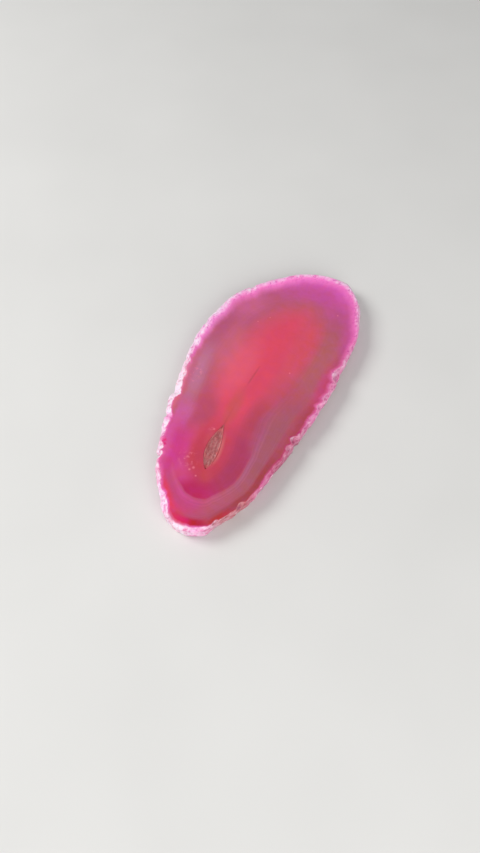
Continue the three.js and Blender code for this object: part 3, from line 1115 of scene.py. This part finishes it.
def layered(tree: Tree, colour: Out | tuple, layers: list[tuple[Out, Out | tuple]]) -> Out | tuple:
    """Lays colours over one another.

    Args:
        tree: The tree that gets the nodes.
        colour: The undermost colour.
        layers: Each colour's mask and the colour, from the undermost up.

    Returns:
        The colour that shows.
    """
    for mask, over in layers:
        mixed = {0: mask, MIX_A: colour, MIX_B: over}
        colour = add(tree, "ShaderNodeMix", mixed, data_type="RGBA").outputs[MIX_RESULT]
    return colour


def new_material(name: str, recipe: Callable[[Tree, Out], dict]) -> bpy.types.Material:
    """Makes a material with one shader.

    Args:
        name: The material's name.
        recipe: Takes the tree and the piece's own coordinates, and gives the shader's inputs.

    Returns:
        The material.
    """
    made = bpy.data.materials.new(name)
    made.use_nodes = True
    tree = made.node_tree
    tree.nodes.clear()
    place = add(tree, "ShaderNodeTexCoord").outputs["Object"]
    shader = add(tree, "ShaderNodeBsdfPrincipled", recipe(tree, place))
    add(tree, "ShaderNodeOutputMaterial", {"Surface": shader})
    return made


@dataclass(frozen=True)
class DyedAgate:
    """Polished chalcedony that took pink and red dye unevenly, band by band.

    The eye sees a deep, slightly milky colour under a smooth shine, soft pools of dye cut by
    the edges of the bands, and a pale sugary rind that scatters the light.
    """

    # Chalcedony's refractive index, and how deep and in which colours light spreads in it
    ior: float = 1.54
    glow_mm: float = 1.6
    glow_weight: float = 0.3
    glow_colours: Place = (1.0, 0.35, 0.5)
    # How rough the polish is and how that varies, and how rough the skin is
    polish: float = 0.16
    haze: Clouds = Clouds(6.0, 4.0, 0.048)
    skin_roughness: float = 0.5
    # Growth from the rim to the core, with the dye's colour where no pool changes it
    bands: tuple[tuple[float, str], ...] = (
        (0.0, "#a9485c"), (0.10, "#a9485c"), (0.18, "#ad4c64"), (0.30, "#b0526b"), (0.42, "#b3546c"),
        (0.50, "#ba536a"), (0.58, "#c4516a"), (0.68, "#cd4c66"), (0.80, "#d54562"), (1.0, "#d6445f"),
    )
    pools: tuple[Patch, ...] = (
        Patch("brown rose", "#b15a64", (16, 12), (12, 18), (0.15, 0.46), (0.05, 0.06), 0.9),
        Patch("red reach", "#d04a60", (9, 15), (9, 15), (0.50, 0.80), (0.14, 0.20), 0.9),
        Patch("rose right", "#c0425c", (9, -1), (9, 8), (0.10, 0.70), (0.10, 0.20), 0.5),
        Patch("grey mauve", "#a35465", (13, -16), (10, 24), (0.19, 0.50), (0.025, 0.03)),
        Patch("lilac band", "#ab5a78", (8, -19), (8, 15), (0.40, 0.50), (0.06, 0.03), 0.9),
        Patch("red under the skin", "#a03c48", (11, -27), (10, 18), (-1, 0.18), (0.02, 0.05)),
        Patch("red along the right", "#a93e4c", (18, -2), (8, 20), (-1, 0.13), (0.02, 0.05)),
        Patch("magenta right", "#c63e74", (17, 7), (3.2, 11), (-1, 0.24), (0.02, 0.08), 0.7),
        Patch("lilac left", "#bd7190", (-14, -1), (6.5, 15), (0.20, 0.42), (0.06, 0.10), 0.9),
        Patch("mauve upper left", "#b25074", (-13, 20), (14, 20), (0.18, 0.54), (0.05, 0.08), 0.8),
        Patch("crimson mauve", "#a8355c", (5, -23), (12, 17), (0.515, 0.88), (0.03, 0.16)),
        Patch("crimson right", "#b13c54", (6, -9), (6, 9), (0.52, 0.82), (0.05, 0.14), 0.8),
        Patch("violet fade", "#aa4a6a", (7.6, -12), (3.6, 10), (0.44, 0.60), (0.04, 0.06), 0.8),
        Patch("dusk left", "#b54664", (-9, -12), (7.5, 9), (0.46, 0.86), (0.08, 0.14), 0.95),
        Patch("pink left", "#c65c94", (-13, -16), (6, 8), (0.18, 0.50), (0.05, 0.08), 0.9),
        Patch("magenta lower left", "#c8367f", (-11, -25), (10, 12), (0.12, 0.74), (0.05, 0.12)),
        Patch("pink skin lower left", "#d05292", (-13.5, -25), (6, 13), (-1, 0.30), (0.02, 0.14), 0.9),
        Patch("rose skin left", "#c9688a", (-18, -1), (6, 24), (-1, 0.20), (0.02, 0.10), 0.9),
        Patch("rose red left", "#d2647f", (-16.5, -11), (5, 9), (-1, 0.17), (0.02, 0.09), 0.9),
        Patch("magenta heel", "#b51c5c", (-2, -33), (11, 8), (0.51, 0.92), (0.03, 0.16)),
        Patch("pink lilac", "#be4076", (-4, -36), (11, 8), (0.22, 0.50), (0.04, 0.03)),
        Patch("pale line", "#c94e84", (-5, -32), (11, 7), (0.42, 0.50), (0.05, 0.04), 0.6),
        Patch("pink by the heel", "#cc4a84", (-5.5, -29), (4.5, 4.5), (0.5, 0.9), (0.05, 0.1), 0.55),
        Patch("heart left", "#de5a72", (-5, 4), (6, 14), (0.6, 1.3), (0.12, 0.1), 0.7),
        Patch("rose left of the heart", "#d4687e", (-10, 8), (5, 13), (0.3, 0.8), (0.1, 0.2), 0.4),
        Patch("crimson round the pocket", "#bc3850", (-2.5, -23), (9, 14), (0.72, 1.3), (0.12, 0.1), 0.95),
        Patch("rose by the pocket", "#c4525e", (-3.3, -18.2), (1.6, 3.4), (0.5, 1.3), (0.1, 0.1), 0.3),
        Patch("red by the heel", "#be3f50", (0.2, -27.6), (2.6, 2.4), (0.5, 1.3), (0.1, 0.1), 0.8),
        Patch("crimson tip", "#c40650", (1.5, -41), (9, 5.5), (-1, 0.19), (0.02, 0.05)),
        Patch("hot tip", "#d81a6c", (-0.3, -40.6), (4.2, 2.6), (-1, 0.22), (0.02, 0.08), 0.5),
        Patch("dark tip", "#a8142c", (3.4, -39.4), (3.2, 2.0), (-1, 0.20), (0.02, 0.05), 0.6),
        Patch("red lower right", "#b22c3a", (7.5, -36), (4.5, 5), (-1, 0.12), (0.02, 0.04)),
        Patch("red lower left", "#de345e", (-6, -36), (8, 8), (-1, 0.27), (0.02, 0.07), 0.85),
        Patch("pink upper left", "#d56894", (-11, 24), (8, 8.5), (-1, 0.5), (0.02, 0.1), 0.45),
        Patch("violet end", "#c34c93", (7, 42), (26, 22), (-1, 0.46), (0.02, 0.08)),
        Patch("bright end", "#dc5cb4", (6, 43), (27, 18), (-1, 0.20), (0.02, 0.12)),
        Patch("pink shoulder", "#da66ae", (-4, 33), (11, 5), (-1, 0.24), (0.02, 0.10), 0.45),
        Patch("violet right", "#c44e94", (20, 26), (9, 14), (-1, 0.22), (0.02, 0.14), 0.9),
        Patch("amber by the seam", "#b85648", (-1.4, -8), (2.6, 8), (0.78, 1.3), (0.16, 0.1), 0.45),
    )
    # How far the edges of the bands wander, as growth
    drift: Clouds = Clouds(5.0, 2.0, 0.012)
    # Fine bands a fraction of a millimetre wide, and how far they lighten or darken the dye
    fine_bands: float = 34.0
    fine_strength: float = 0.055
    fine_detail: float = 3.0
    fine_roughness: float = 0.6
    # Where they show most, and the share of them that shows everywhere
    banded_most: Patch = Patch("fine bands", None, (9, -26), (17, 30), strength=0.9)
    banded_least: float = 0.25
    # How the bands and the change of hue calm down into the heart
    calm_heart: Fade = Fade(0.45, 0.75, 1.0, 0.35)
    # Clouds a few millimetres wide in the dye's lightness and hue
    tone_clouds: Clouds = Clouds(3.5, 3.0, 0.035)
    hue_clouds: Clouds = Clouds(1.8, 3.0, 0.012)
    # The healed seam that runs on from the pocket's tip, and how dark it is along its run in y
    seam_colour: str = "#8c3a42"
    seam_half_mm: float = 0.45
    seam_run: Knots = (
        (-17.5, 0.0), (-15.5, 0.2), (-13.0, 0.22), (-11.0, 0.1), (-1.0, 0.05), (1.0, 0.34), (4.0, 0.3),
        (6.0, 0.0),
    )
    # Painted light: the tan line along the pocket's right edge, where the edge catches the light, and how it
    # fades over millimetres from the edge
    pocket_edge_light: Patch = Patch("pocket's lit edge", "#c86266", (1.3, -19.5), (2.6, 9))
    pocket_edge_light_mm: Fade = Fade(0.1, 1.3)
    # The rind: white where it stayed undyed, pink where the dye soaked in, darkened by painted shade where it
    # is undercut
    rind_white: str = "#f4dcec"
    rind_pink: str = "#ea70ba"
    rind_pools: tuple[Patch, ...] = (
        Patch("rose right", "#d45e98", (21, 8), (10, 21)),
        Patch("dusky right", "#b83a6c", (16, -15), (10, 17)),
        Patch("red lower right", "#b45058", (10, -34), (8, 14)),
        Patch("rose tip", "#de7a9c", (-2, -42), (6, 5)),
        Patch("rose lower left", "#e0609e", (-12, -28), (7, 12)),
        Patch("rose left", "#e0809a", (-19, -7), (7, 11)),
        Patch("hot end", "#fa82ce", (-5, 39), (27, 26)),
        Patch("lilac upper left", "#f48cd4", (-20, 16), (9, 17), strength=0.9),
    )
    # How the pink and the white fade inwards, as shares of the glow's width
    pink_fade: Fade = Fade(0.1, 1.1)
    white_fade: Fade = Fade(-0.08, 0.42)
    white_level: float = 0.8
    white_clouds: Clouds = Clouds(1.3, 3.0, 0.5)
    # Shade low on the wall, where the distance from the broken edge counts on downwards
    undercut_shade: Patch = Patch("undercut", "#8f4658", (24, 2), (18, 40), strength=0.85)
    undercut_fade: Fade = Fade(-4.9, -3.5)
    # Fibres that stand across the rim, drawn out along their length
    fibres: Clouds = Clouds(2.1, 4.0, roughness=0.65)
    fibre_squeeze: Place = (1.0, 1.0, 0.75)
    # Blotches in the rind where the dye went deeper
    blots: Clouds = Clouds(0.9, 3.0, roughness=0.6)
    blot_fade: Fade = Fade(0.48, 0.7, 0.0, 0.7)
    # How the pink deepens in blotches where the dye went deeper, and as painted shade in hollows
    hollow_saturation: float = 1.12
    hollow_value: float = 0.74
    # Painted highlight whitens crests that stand out and painted shade darkens hollows, by their depth in
    # millimetres
    crest_highlight_fade: Fade = Fade(-0.2, -0.03, 0.75, 0.0)
    hollow_shade_fade: Fade = Fade(0.0, 0.24, 0.0, 0.7)
    # Small pits in the rind where dye gathered: place and radius in millimetres, and colour
    pits: tuple[tuple[float, float, float, float, str], ...] = (
        (7.0, -37.7, 4.6, 0.8, "#94323c"),
        (-3.1, -40.5, 4.7, 0.75, "#c084a4"),
        (10.5, -31.9, 4.3, 1.0, "#a04468"),
        (-13.1, -23.2, 5.0, 0.8, "#e01c74"),
        (-12.7, -24.1, 5.0, 0.7, "#d42070"),
    )
    pit_strength: float = 0.85
    # How ragged a pit is: the size of its frays, and how far they reach as a share of its radius
    pit_fray_mm: float = 0.45
    pit_fray_reach: float = 0.4
    speck_colour: str = "#e88098"
    # Pale specks under the polish: x, y and radius in millimetres
    specks: tuple[Place, ...] = (
        (-3.4, -27.0, 0.5), (-4.1, -27.8, 0.45), (-2.0, -28.7, 0.35), (-3.3, -15.6, 0.42),
        (7.6, 7.0, 0.3), (12.6, 29.4, 0.3), (-6.4, 18.9, 0.26), (-3.9, 21.4, 0.24),
    )
    speck_strength: float = 0.6
    face_height_mm: float = 5.0
    # The share of a spot's radius over which it keeps its full strength
    spot_full: float = 0.1
    # Patches where such specks lie close together
    speckled: tuple[Patch, ...] = (
        Patch("specks by the heel", None, (-5.6, -25.2), (3.2, 3.4), strength=0.45),
        Patch("specks by the tip", None, (-4.4, -15.6), (1.5, 1.0), strength=0.35),
        Patch("specks on the left", None, (-14.2, -3.0), (2.0, 5.0), strength=0.5),
    )
    speck_grains: Clouds = Clouds(0.8, 2.0)
    speck_grain_fade: Fade = Fade(0.5, 0.7, 0.0, 1.0)
    # Where the stone turns from rough to polished, by the distance in from the broken edge
    polish_fade: Fade = Fade(-0.08, 0.06)
    polish_fray: Clouds = Clouds(0.6, 3.0, 0.06)
    # Grit on the skin, and the faint waves that a lap leaves on the polish
    grit: Clouds = Clouds(0.28, 3.0)
    grit_height_mm: float = 0.12
    grit_strength: float = 0.5
    lap: Clouds = Clouds(3.2, 2.0)
    lap_height_mm: float = 0.01
    lap_strength: float = 0.25

    def material(self) -> bpy.types.Material:
        """Makes the material, which reads the slab's own measures off its mesh."""
        return new_material("polished_dyed_agate", self._recipe)

    def _recipe(self, tree: Tree, place: Out) -> dict:
        """Works out what feeds the shader.

        Args:
            tree: The material's tree.
            place: The slab's own coordinates.

        Returns:
            The shader's inputs.
        """
        measures = {}
        for name in ("growth", "from_core", "from_edge", "glow", "streaks", "white", "hollow"):
            measures[name] = add(tree, "ShaderNodeAttribute", attribute_name=name).outputs["Fac"]
        drift = self.drift.swinging(tree, place)
        growth = add(tree, "ShaderNodeMath", {0: measures["growth"], 1: drift}, operation="ADD")
        colour = self._dyed(tree, place, growth)
        colour = self._banded(tree, place, growth, colour)
        colour = self._seamed(tree, place, measures["from_core"], colour)
        colour = self._specked(tree, place, colour)
        colour = self._with_rind(tree, place, measures, colour)
        fray = self.polish_fray.swinging(tree, place)
        inside = add(tree, "ShaderNodeMath", {0: measures["from_edge"], 1: fray}, operation="ADD")
        rough = add(tree, "ShaderNodeMapRange", self.polish_fade.on(inside), interpolation_type="SMOOTHSTEP")
        haze = self.haze.swinging(tree, place)
        polish = add(tree, "ShaderNodeMath", {0: haze, 1: self.polish}, operation="ADD")
        shine = add(tree, "ShaderNodeMix", {0: rough, 2: polish, 3: self.skin_roughness}, data_type="FLOAT")
        return {
            "Base Color": colour,
            "Roughness": shine,
            "IOR": self.ior,
            "Subsurface Weight": self.glow_weight,
            "Subsurface Radius": self.glow_colours,
            "Subsurface Scale": self.glow_mm * MM,
            "Normal": self._bump(tree, place, rough),
        }

    def _dyed(self, tree: Tree, place: Out, growth: Out) -> Out:
        """Dyes the stone: the plain bands, then each pool over them in turn.

        Args:
            tree: The material's tree.
            place: The slab's own coordinates.
            growth: The growth, with its wandering.

        Returns:
            The dye's colour.
        """
        ramp = add(tree, "ShaderNodeValToRGB", {"Fac": growth})
        stops = ramp.color_ramp.elements
        for share, _ in self.bands[1:-1]:
            stops.new(share)
        for stop, (share, colour) in zip(stops, self.bands):
            stop.position, stop.color = share, linear(colour)
        layers = [(pool.mask(tree, place, growth), linear(pool.colour)) for pool in self.pools]
        return layered(tree, ramp, layers)

    def _banded(self, tree: Tree, place: Out, growth: Out, colour: Out) -> Out:
        """Draws fine bands of uneven width that come and go along the growth lines, and clouds.

        Args:
            tree: The material's tree.
            place: The slab's own coordinates.
            growth: The growth, with its wandering.
            colour: The dye's colour.

        Returns:
            The banded colour.
        """
        along = add(tree, "ShaderNodeMath", {0: growth, 1: self.fine_bands}, operation="MULTIPLY")
        noisy = {"W": along, "Scale": 1.0, "Detail": self.fine_detail, "Roughness": self.fine_roughness}
        bands = add(tree, "ShaderNodeTexNoise", noisy, noise_dimensions="1D")
        swing = Fade(NOISE_LOW, NOISE_HIGH, -self.fine_strength, self.fine_strength)
        swing = add(tree, "ShaderNodeMapRange", swing.on(bands))
        most = self.banded_most.mask(tree, place)
        shown = add(tree, "ShaderNodeMath", {0: most, 1: self.banded_least}, operation="ADD")
        swing = add(tree, "ShaderNodeMath", {0: swing, 1: shown}, operation="MULTIPLY")
        swing = faded(tree, swing, growth, self.calm_heart)
        clouds = self.tone_clouds.swinging(tree, place)
        swing = add(tree, "ShaderNodeMath", {0: swing, 1: clouds}, operation="ADD")
        value = add(tree, "ShaderNodeMath", {0: swing, 1: 1.0}, operation="ADD")
        turned = faded(tree, self.hue_clouds.swinging(tree, place), growth, self.calm_heart)
        hue = add(tree, "ShaderNodeMath", {0: turned, 1: SAME_HUE}, operation="ADD")
        return add(tree, "ShaderNodeHueSaturation", {"Hue": hue, "Value": value, "Color": colour})

    def _seamed(self, tree: Tree, place: Out, gap: Out, colour: Out) -> Out:
        """Draws the dark seam line, and the tan line of painted light along the pocket's right edge.

        Args:
            tree: The material's tree.
            place: The slab's own coordinates.
            gap: The distance from the seam or the pocket, in millimetres.
            colour: The colour under the lines.

        Returns:
            The colour with the lines.
        """
        y = add(tree, "ShaderNodeSeparateXYZ", {0: place}).outputs["Y"]
        low, high = self.seam_run[0][0], self.seam_run[-1][0]
        along = add(tree, "ShaderNodeMapRange", Fade(low * MM, high * MM, 0.0, 1.0).on(y))
        run = add(tree, "ShaderNodeFloatCurve", {"Value": along})
        knots = run.mapping.curves[0].points
        for _ in self.seam_run[1:-1]:
            knots.new(0.5, 0.5)
        for knot, (at, dark) in zip(knots, self.seam_run):
            knot.location = ((at - low) / (high - low), dark)
        run.mapping.update()
        line = faded(tree, run, gap, Fade(0.0, self.seam_half_mm))
        # Painted light along the pocket's lit right edge
        lit = faded(tree, self.pocket_edge_light.mask(tree, place), gap, self.pocket_edge_light_mm)
        layers = [(line, linear(self.seam_colour)), (lit, linear(self.pocket_edge_light.colour))]
        return layered(tree, colour, layers)

    def _spot(
        self, tree: Tree, place: Out, centre: Place, radius: float, strength: float, fray: float
    ) -> Out:
        """Works out how strong a small round spot is at each place.

        Args:
            tree: The material's tree.
            place: The slab's own coordinates.
            centre: Its middle in millimetres.
            radius: Its radius in millimetres.
            strength: How strong it is in its middle.
            fray: How far its edge frays, as a share of its radius.

        Returns:
            The spot's strength.
        """
        middle = tuple(part * MM for part in centre)
        away = add(tree, "ShaderNodeVectorMath", {0: place, 1: middle}, operation="DISTANCE").outputs["Value"]
        if fray:
            frays = Clouds(self.pit_fray_mm, swing=fray * radius * MM).swinging(tree, place)
            away = add(tree, "ShaderNodeMath", {0: away, 1: frays}, operation="ADD")
        spot = Fade(self.spot_full * radius * MM, radius * MM, strength, 0.0)
        return add(tree, "ShaderNodeMapRange", spot.on(away), interpolation_type="SMOOTHSTEP")

    def _specked(self, tree: Tree, place: Out, colour: Out) -> Out:
        """Sets pale specks just under the polish.

        Args:
            tree: The material's tree.
            place: The slab's own coordinates.
            colour: The colour under them.

        Returns:
            The colour with the specks.
        """
        masks = [
            self._spot(tree, place, (x, y, self.face_height_mm), radius, self.speck_strength, 0.0)
            for x, y, radius in self.specks
        ]
        grains = add(tree, "ShaderNodeTexNoise", self.speck_grains.on(place))
        for patch in self.speckled:
            masks.append(faded(tree, patch.mask(tree, place), grains, self.speck_grain_fade))
        return layered(tree, colour, [(mask, linear(self.speck_colour)) for mask in masks])

    def _with_rind(self, tree: Tree, place: Out, measures: dict[str, Out], colour: Out) -> Out:
        """Lays the pale rind on: it fades inwards in soft fingers that stand across the rim.

        Painted highlight whitens its crests, and painted shade darkens its hollows and the wall's
        undercut foot.

        Args:
            tree: The material's tree.
            place: The slab's own coordinates.
            measures: The slab's measures by name.
            colour: The polished stone's colour.

        Returns:
            The whole slab's colour.
        """
        fibres = add(tree, "ShaderNodeAttribute", attribute_name="fibres").outputs["Vector"]
        drawn = add(tree, "ShaderNodeMapping", {"Vector": fibres, "Scale": self.fibre_squeeze})
        strands = add(tree, "ShaderNodeTexNoise", self.fibres.on(drawn, 1.0))
        reach = add(tree, "ShaderNodeMapRange", Fade(0.0, 1.0, -1.0, 1.0).on(strands))
        reach = add(tree, "ShaderNodeMath", {0: reach, 1: measures["streaks"]}, operation="MULTIPLY")
        fingers = add(tree, "ShaderNodeMath", {0: measures["glow"], 1: reach}, operation="ADD")
        pinks = [(pool.mask(tree, place), linear(pool.colour)) for pool in self.rind_pools]
        pink = layered(tree, linear(self.rind_pink), pinks)
        rind = add(tree, "ShaderNodeMapRange", self.pink_fade.on(fingers), interpolation_type="SMOOTHSTEP")
        pale = faded(tree, measures["white"], fingers, self.white_fade)
        clouds = self.white_clouds.swinging(tree, place)
        patchy = add(tree, "ShaderNodeMath", {0: clouds, 1: self.white_level}, operation="ADD")
        pale = add(tree, "ShaderNodeMath", {0: pale, 1: patchy}, operation="MULTIPLY")
        blots = add(tree, "ShaderNodeTexNoise", self.blots.on(fibres, 1.0))
        deepened = {"Saturation": self.hollow_saturation, "Value": self.hollow_value, "Color": pink}
        deeper = add(tree, "ShaderNodeHueSaturation", deepened)
        white = linear(self.rind_white)
        # Painted highlight on crests and painted shade in hollows, both read from the hollow measure
        crest_highlight_mask, hollow = (
            add(tree, "ShaderNodeMapRange", fade.on(measures["hollow"]), interpolation_type="SMOOTHSTEP")
            for fade in (self.crest_highlight_fade, self.hollow_shade_fade)
        )
        layers = [(rind, pink), (pale, white), (faded(tree, rind, blots, self.blot_fade), deeper)]
        layers += [(crest_highlight_mask, white), (hollow, deeper)]
        for *centre, radius, stain in self.pits:
            pit = self._spot(tree, place, tuple(centre), radius, self.pit_strength, self.pit_fray_reach)
            layers.append((pit, linear(stain)))
        # Painted shade low on the undercut wall
        shade = faded(tree, self.undercut_shade.mask(tree, place), measures["from_edge"], self.undercut_fade)
        layers.append((shade, linear(self.undercut_shade.colour)))
        return layered(tree, colour, layers)

    def _bump(self, tree: Tree, place: Out, rough: Out) -> Out:
        """Raises grit on the skin, and the faint unevenness that a lap leaves on the polish.

        Args:
            tree: The material's tree.
            place: The slab's own coordinates.
            rough: Where the stone is rough instead of polished, from 0 to 1.

        Returns:
            The surface's normal.
        """
        grit = add(tree, "ShaderNodeTexNoise", self.grit.on(place))
        grit = add(tree, "ShaderNodeMath", {0: grit, 1: rough}, operation="MULTIPLY")
        skin = {"Height": grit, "Distance": self.grit_height_mm * MM, "Strength": self.grit_strength}
        gritty = add(tree, "ShaderNodeBump", skin)
        lapped = add(tree, "ShaderNodeTexNoise", self.lap.on(place))
        lap = {"Height": lapped, "Distance": self.lap_height_mm * MM, "Strength": self.lap_strength}
        return add(tree, "ShaderNodeBump", {**lap, "Normal": gritty})


@dataclass(frozen=True)
class DyedQuartz:
    """Small glassy quartz points that the dye turned a dusky rose.

    The eye sees a greyish, sparkling grain: each flat face catches the light on its own.
    """

    ior: float = 1.544
    # Tones of the grain, and where each lies in the noise
    tones: tuple[tuple[float, str], ...] = ((0.3, "#c65254"), (0.5, "#d86469"), (0.72, "#e28483"))
    # Painted shade that darkens the crust towards the pocket's narrow tip, and the y where it begins and
    # where it is full
    tip_shade: str = "#b44446"
    tip_y: Pair = (-15.6, -14.0)
    grain: Clouds = Clouds(0.5, 2.0)
    # How much longer the streaks of tone are than wide, along the pocket
    streak: float = 4.0
    roughness: float = 0.5
    glow_mm: float = 0.8
    glow_weight: float = 0.6
    glow_colours: Place = (1.0, 0.6, 0.6)

    def material(self) -> bpy.types.Material:
        """Makes the material, which varies from point to point."""
        return new_material("dyed_quartz_druse", self._recipe)

    def _recipe(self, tree: Tree, place: Out) -> dict:
        """Works out what feeds the shader.

        Args:
            tree: The material's tree.
            place: The crust's own coordinates.

        Returns:
            The shader's inputs.
        """
        drawn = add(tree, "ShaderNodeMapping", {"Vector": place, "Scale": (1.0, 1 / self.streak, 1.0)})
        ramp = add(tree, "ShaderNodeValToRGB", {"Fac": add(tree, "ShaderNodeTexNoise", self.grain.on(drawn))})
        stops = ramp.color_ramp.elements
        stops.new(self.tones[1][0])
        for stop, (share, colour) in zip(stops, self.tones):
            stop.position, stop.color = share, linear(colour)
        # Painted shade towards the pocket's narrow tip
        y = add(tree, "ShaderNodeSeparateXYZ", {0: place}).outputs["Y"]
        near_tip = Fade(self.tip_y[0] * MM, self.tip_y[1] * MM, 0.0, 1.0)
        at_tip = add(tree, "ShaderNodeMapRange", near_tip.on(y), interpolation_type="SMOOTHSTEP")
        return {
            "Base Color": layered(tree, ramp, [(at_tip, linear(self.tip_shade))]),
            "Roughness": self.roughness,
            "IOR": self.ior,
            "Subsurface Weight": self.glow_weight,
            "Subsurface Radius": self.glow_colours,
            "Subsurface Scale": self.glow_mm * MM,
        }


@dataclass(frozen=True)
class PaleBoard:
    """Matt painted board for the floor: pale, with a barely uneven tone."""

    light: str = "#d9d8d5"
    shade: str = "#d0cfcc"
    roughness: float = 0.85
    mottle: Clouds = Clouds(40.0, 2.0)

    def material(self) -> bpy.types.Material:
        """Makes the floor's material."""
        return new_material("pale_matt_board", self._recipe)

    def _recipe(self, tree: Tree, place: Out) -> dict:
        """Works out what feeds the shader.

        Args:
            tree: The material's tree.
            place: The floor's own coordinates.

        Returns:
            The shader's inputs.
        """
        mottle = add(tree, "ShaderNodeTexNoise", self.mottle.on(place))
        tone = layered(tree, linear(self.light), [(mottle, linear(self.shade))])
        return {"Base Color": tone, "Roughness": self.roughness}


@dataclass
class Studio:
    """The pale floor, the soft light from the photograph's upper left, and the camera."""

    photo_px: tuple[int, int] = (480, 853)
    focal_px: float = 644.0
    eye_mm: Place = (32.5, -80.4, 145.0)
    pitch_deg: float = 62.0
    heading_deg: float = 24.0
    nearest_mm: float = 10.0
    floor_mm: float = 3000.0
    sky: str = "#f2f3f5"
    sky_strength: float = 0.42
    key_from_mm: Place = (-400.0, -100.0, 380.0)
    key_size_mm: float = 260.0
    key_watts: float = 2.1
    fill_from_mm: Place = (300.0, -300.0, 250.0)
    fill_size_mm: float = 400.0
    fill_watts: float = 1.7

    def build(self) -> None:
        """Makes the floor, the world, the lights and the camera."""
        self._floor()
        self._world()
        self._softbox("key_softbox", self.key_from_mm, self.key_size_mm, self.key_watts)
        self._softbox("fill_softbox", self.fill_from_mm, self.fill_size_mm, self.fill_watts)
        self._camera()
        bpy.context.scene.view_settings.view_transform = "Standard"

    def _floor(self) -> None:
        """Lays the floor at the slice's under-face."""
        half = self.floor_mm / 2 * MM
        mesh = bpy.data.meshes.new("floor")
        corners = [(-half, -half, 0), (half, -half, 0), (half, half, 0), (-half, half, 0)]
        mesh.from_pydata(corners, [], [(0, 1, 2, 3)])
        mesh.materials.append(PaleBoard().material())
        floor = bpy.data.objects.new("floor", mesh)
        bpy.context.scene.collection.objects.link(floor)

    def _world(self) -> None:
        """Fills the room with even pale light."""
        world = bpy.data.worlds.new("studio")
        world.use_nodes = True
        tree = world.node_tree
        tree.nodes.clear()
        sky = add(tree, "ShaderNodeBackground", {"Color": linear(self.sky), "Strength": self.sky_strength})
        add(tree, "ShaderNodeOutputWorld", {"Surface": sky})
        bpy.context.scene.world = world

    def _softbox(self, name: str, place_mm: Place, size_mm: float, watts: float) -> None:
        """Hangs a square softbox that faces the slice.

        Args:
            name: The light's name.
            place_mm: Where it hangs.
            size_mm: Its side.
            watts: Its power.
        """
        lamp = bpy.data.lights.new(name, "AREA")
        lamp.size = size_mm * MM
        lamp.energy = watts
        softbox = bpy.data.objects.new(name, lamp)
        softbox.location = Vector(place_mm) * MM
        softbox.rotation_euler = (-softbox.location).to_track_quat("-Z", "Y").to_euler()
        bpy.context.scene.collection.objects.link(softbox)

    def _camera(self) -> None:
        """Sets the camera where the photograph was taken from."""
        lens = bpy.data.cameras.new("camera")
        lens.lens = self.focal_px / max(self.photo_px) * lens.sensor_width
        lens.clip_start = self.nearest_mm * MM
        camera = bpy.data.objects.new("camera", lens)
        camera.location = Vector(self.eye_mm) * MM
        camera.rotation_euler = (math.radians(90 - self.pitch_deg), 0, math.radians(self.heading_deg))
        bpy.context.scene.collection.objects.link(camera)
        bpy.context.scene.camera = camera


def main() -> None:
    """Builds the studio and the slice, piece by piece."""
    logging.basicConfig(level=logging.INFO, format="%(name)s: %(message)s")
    Studio().build()
    growth = Growth()
    slab_maker = BandedSlab(growth)
    slab = slab_maker.build()
    slab_maker.dress(slab, DyedAgate())
    log.info("%s has %d faces", slab.name, len(slab.data.polygons))
    crust_maker = QuartzCrust(growth)
    crust = crust_maker.build(DyedQuartz())
    crust_maker.dress(crust)
    log.info("%s has %d faces", crust.name, len(crust.data.polygons))


if __name__ == "__main__":
    main()
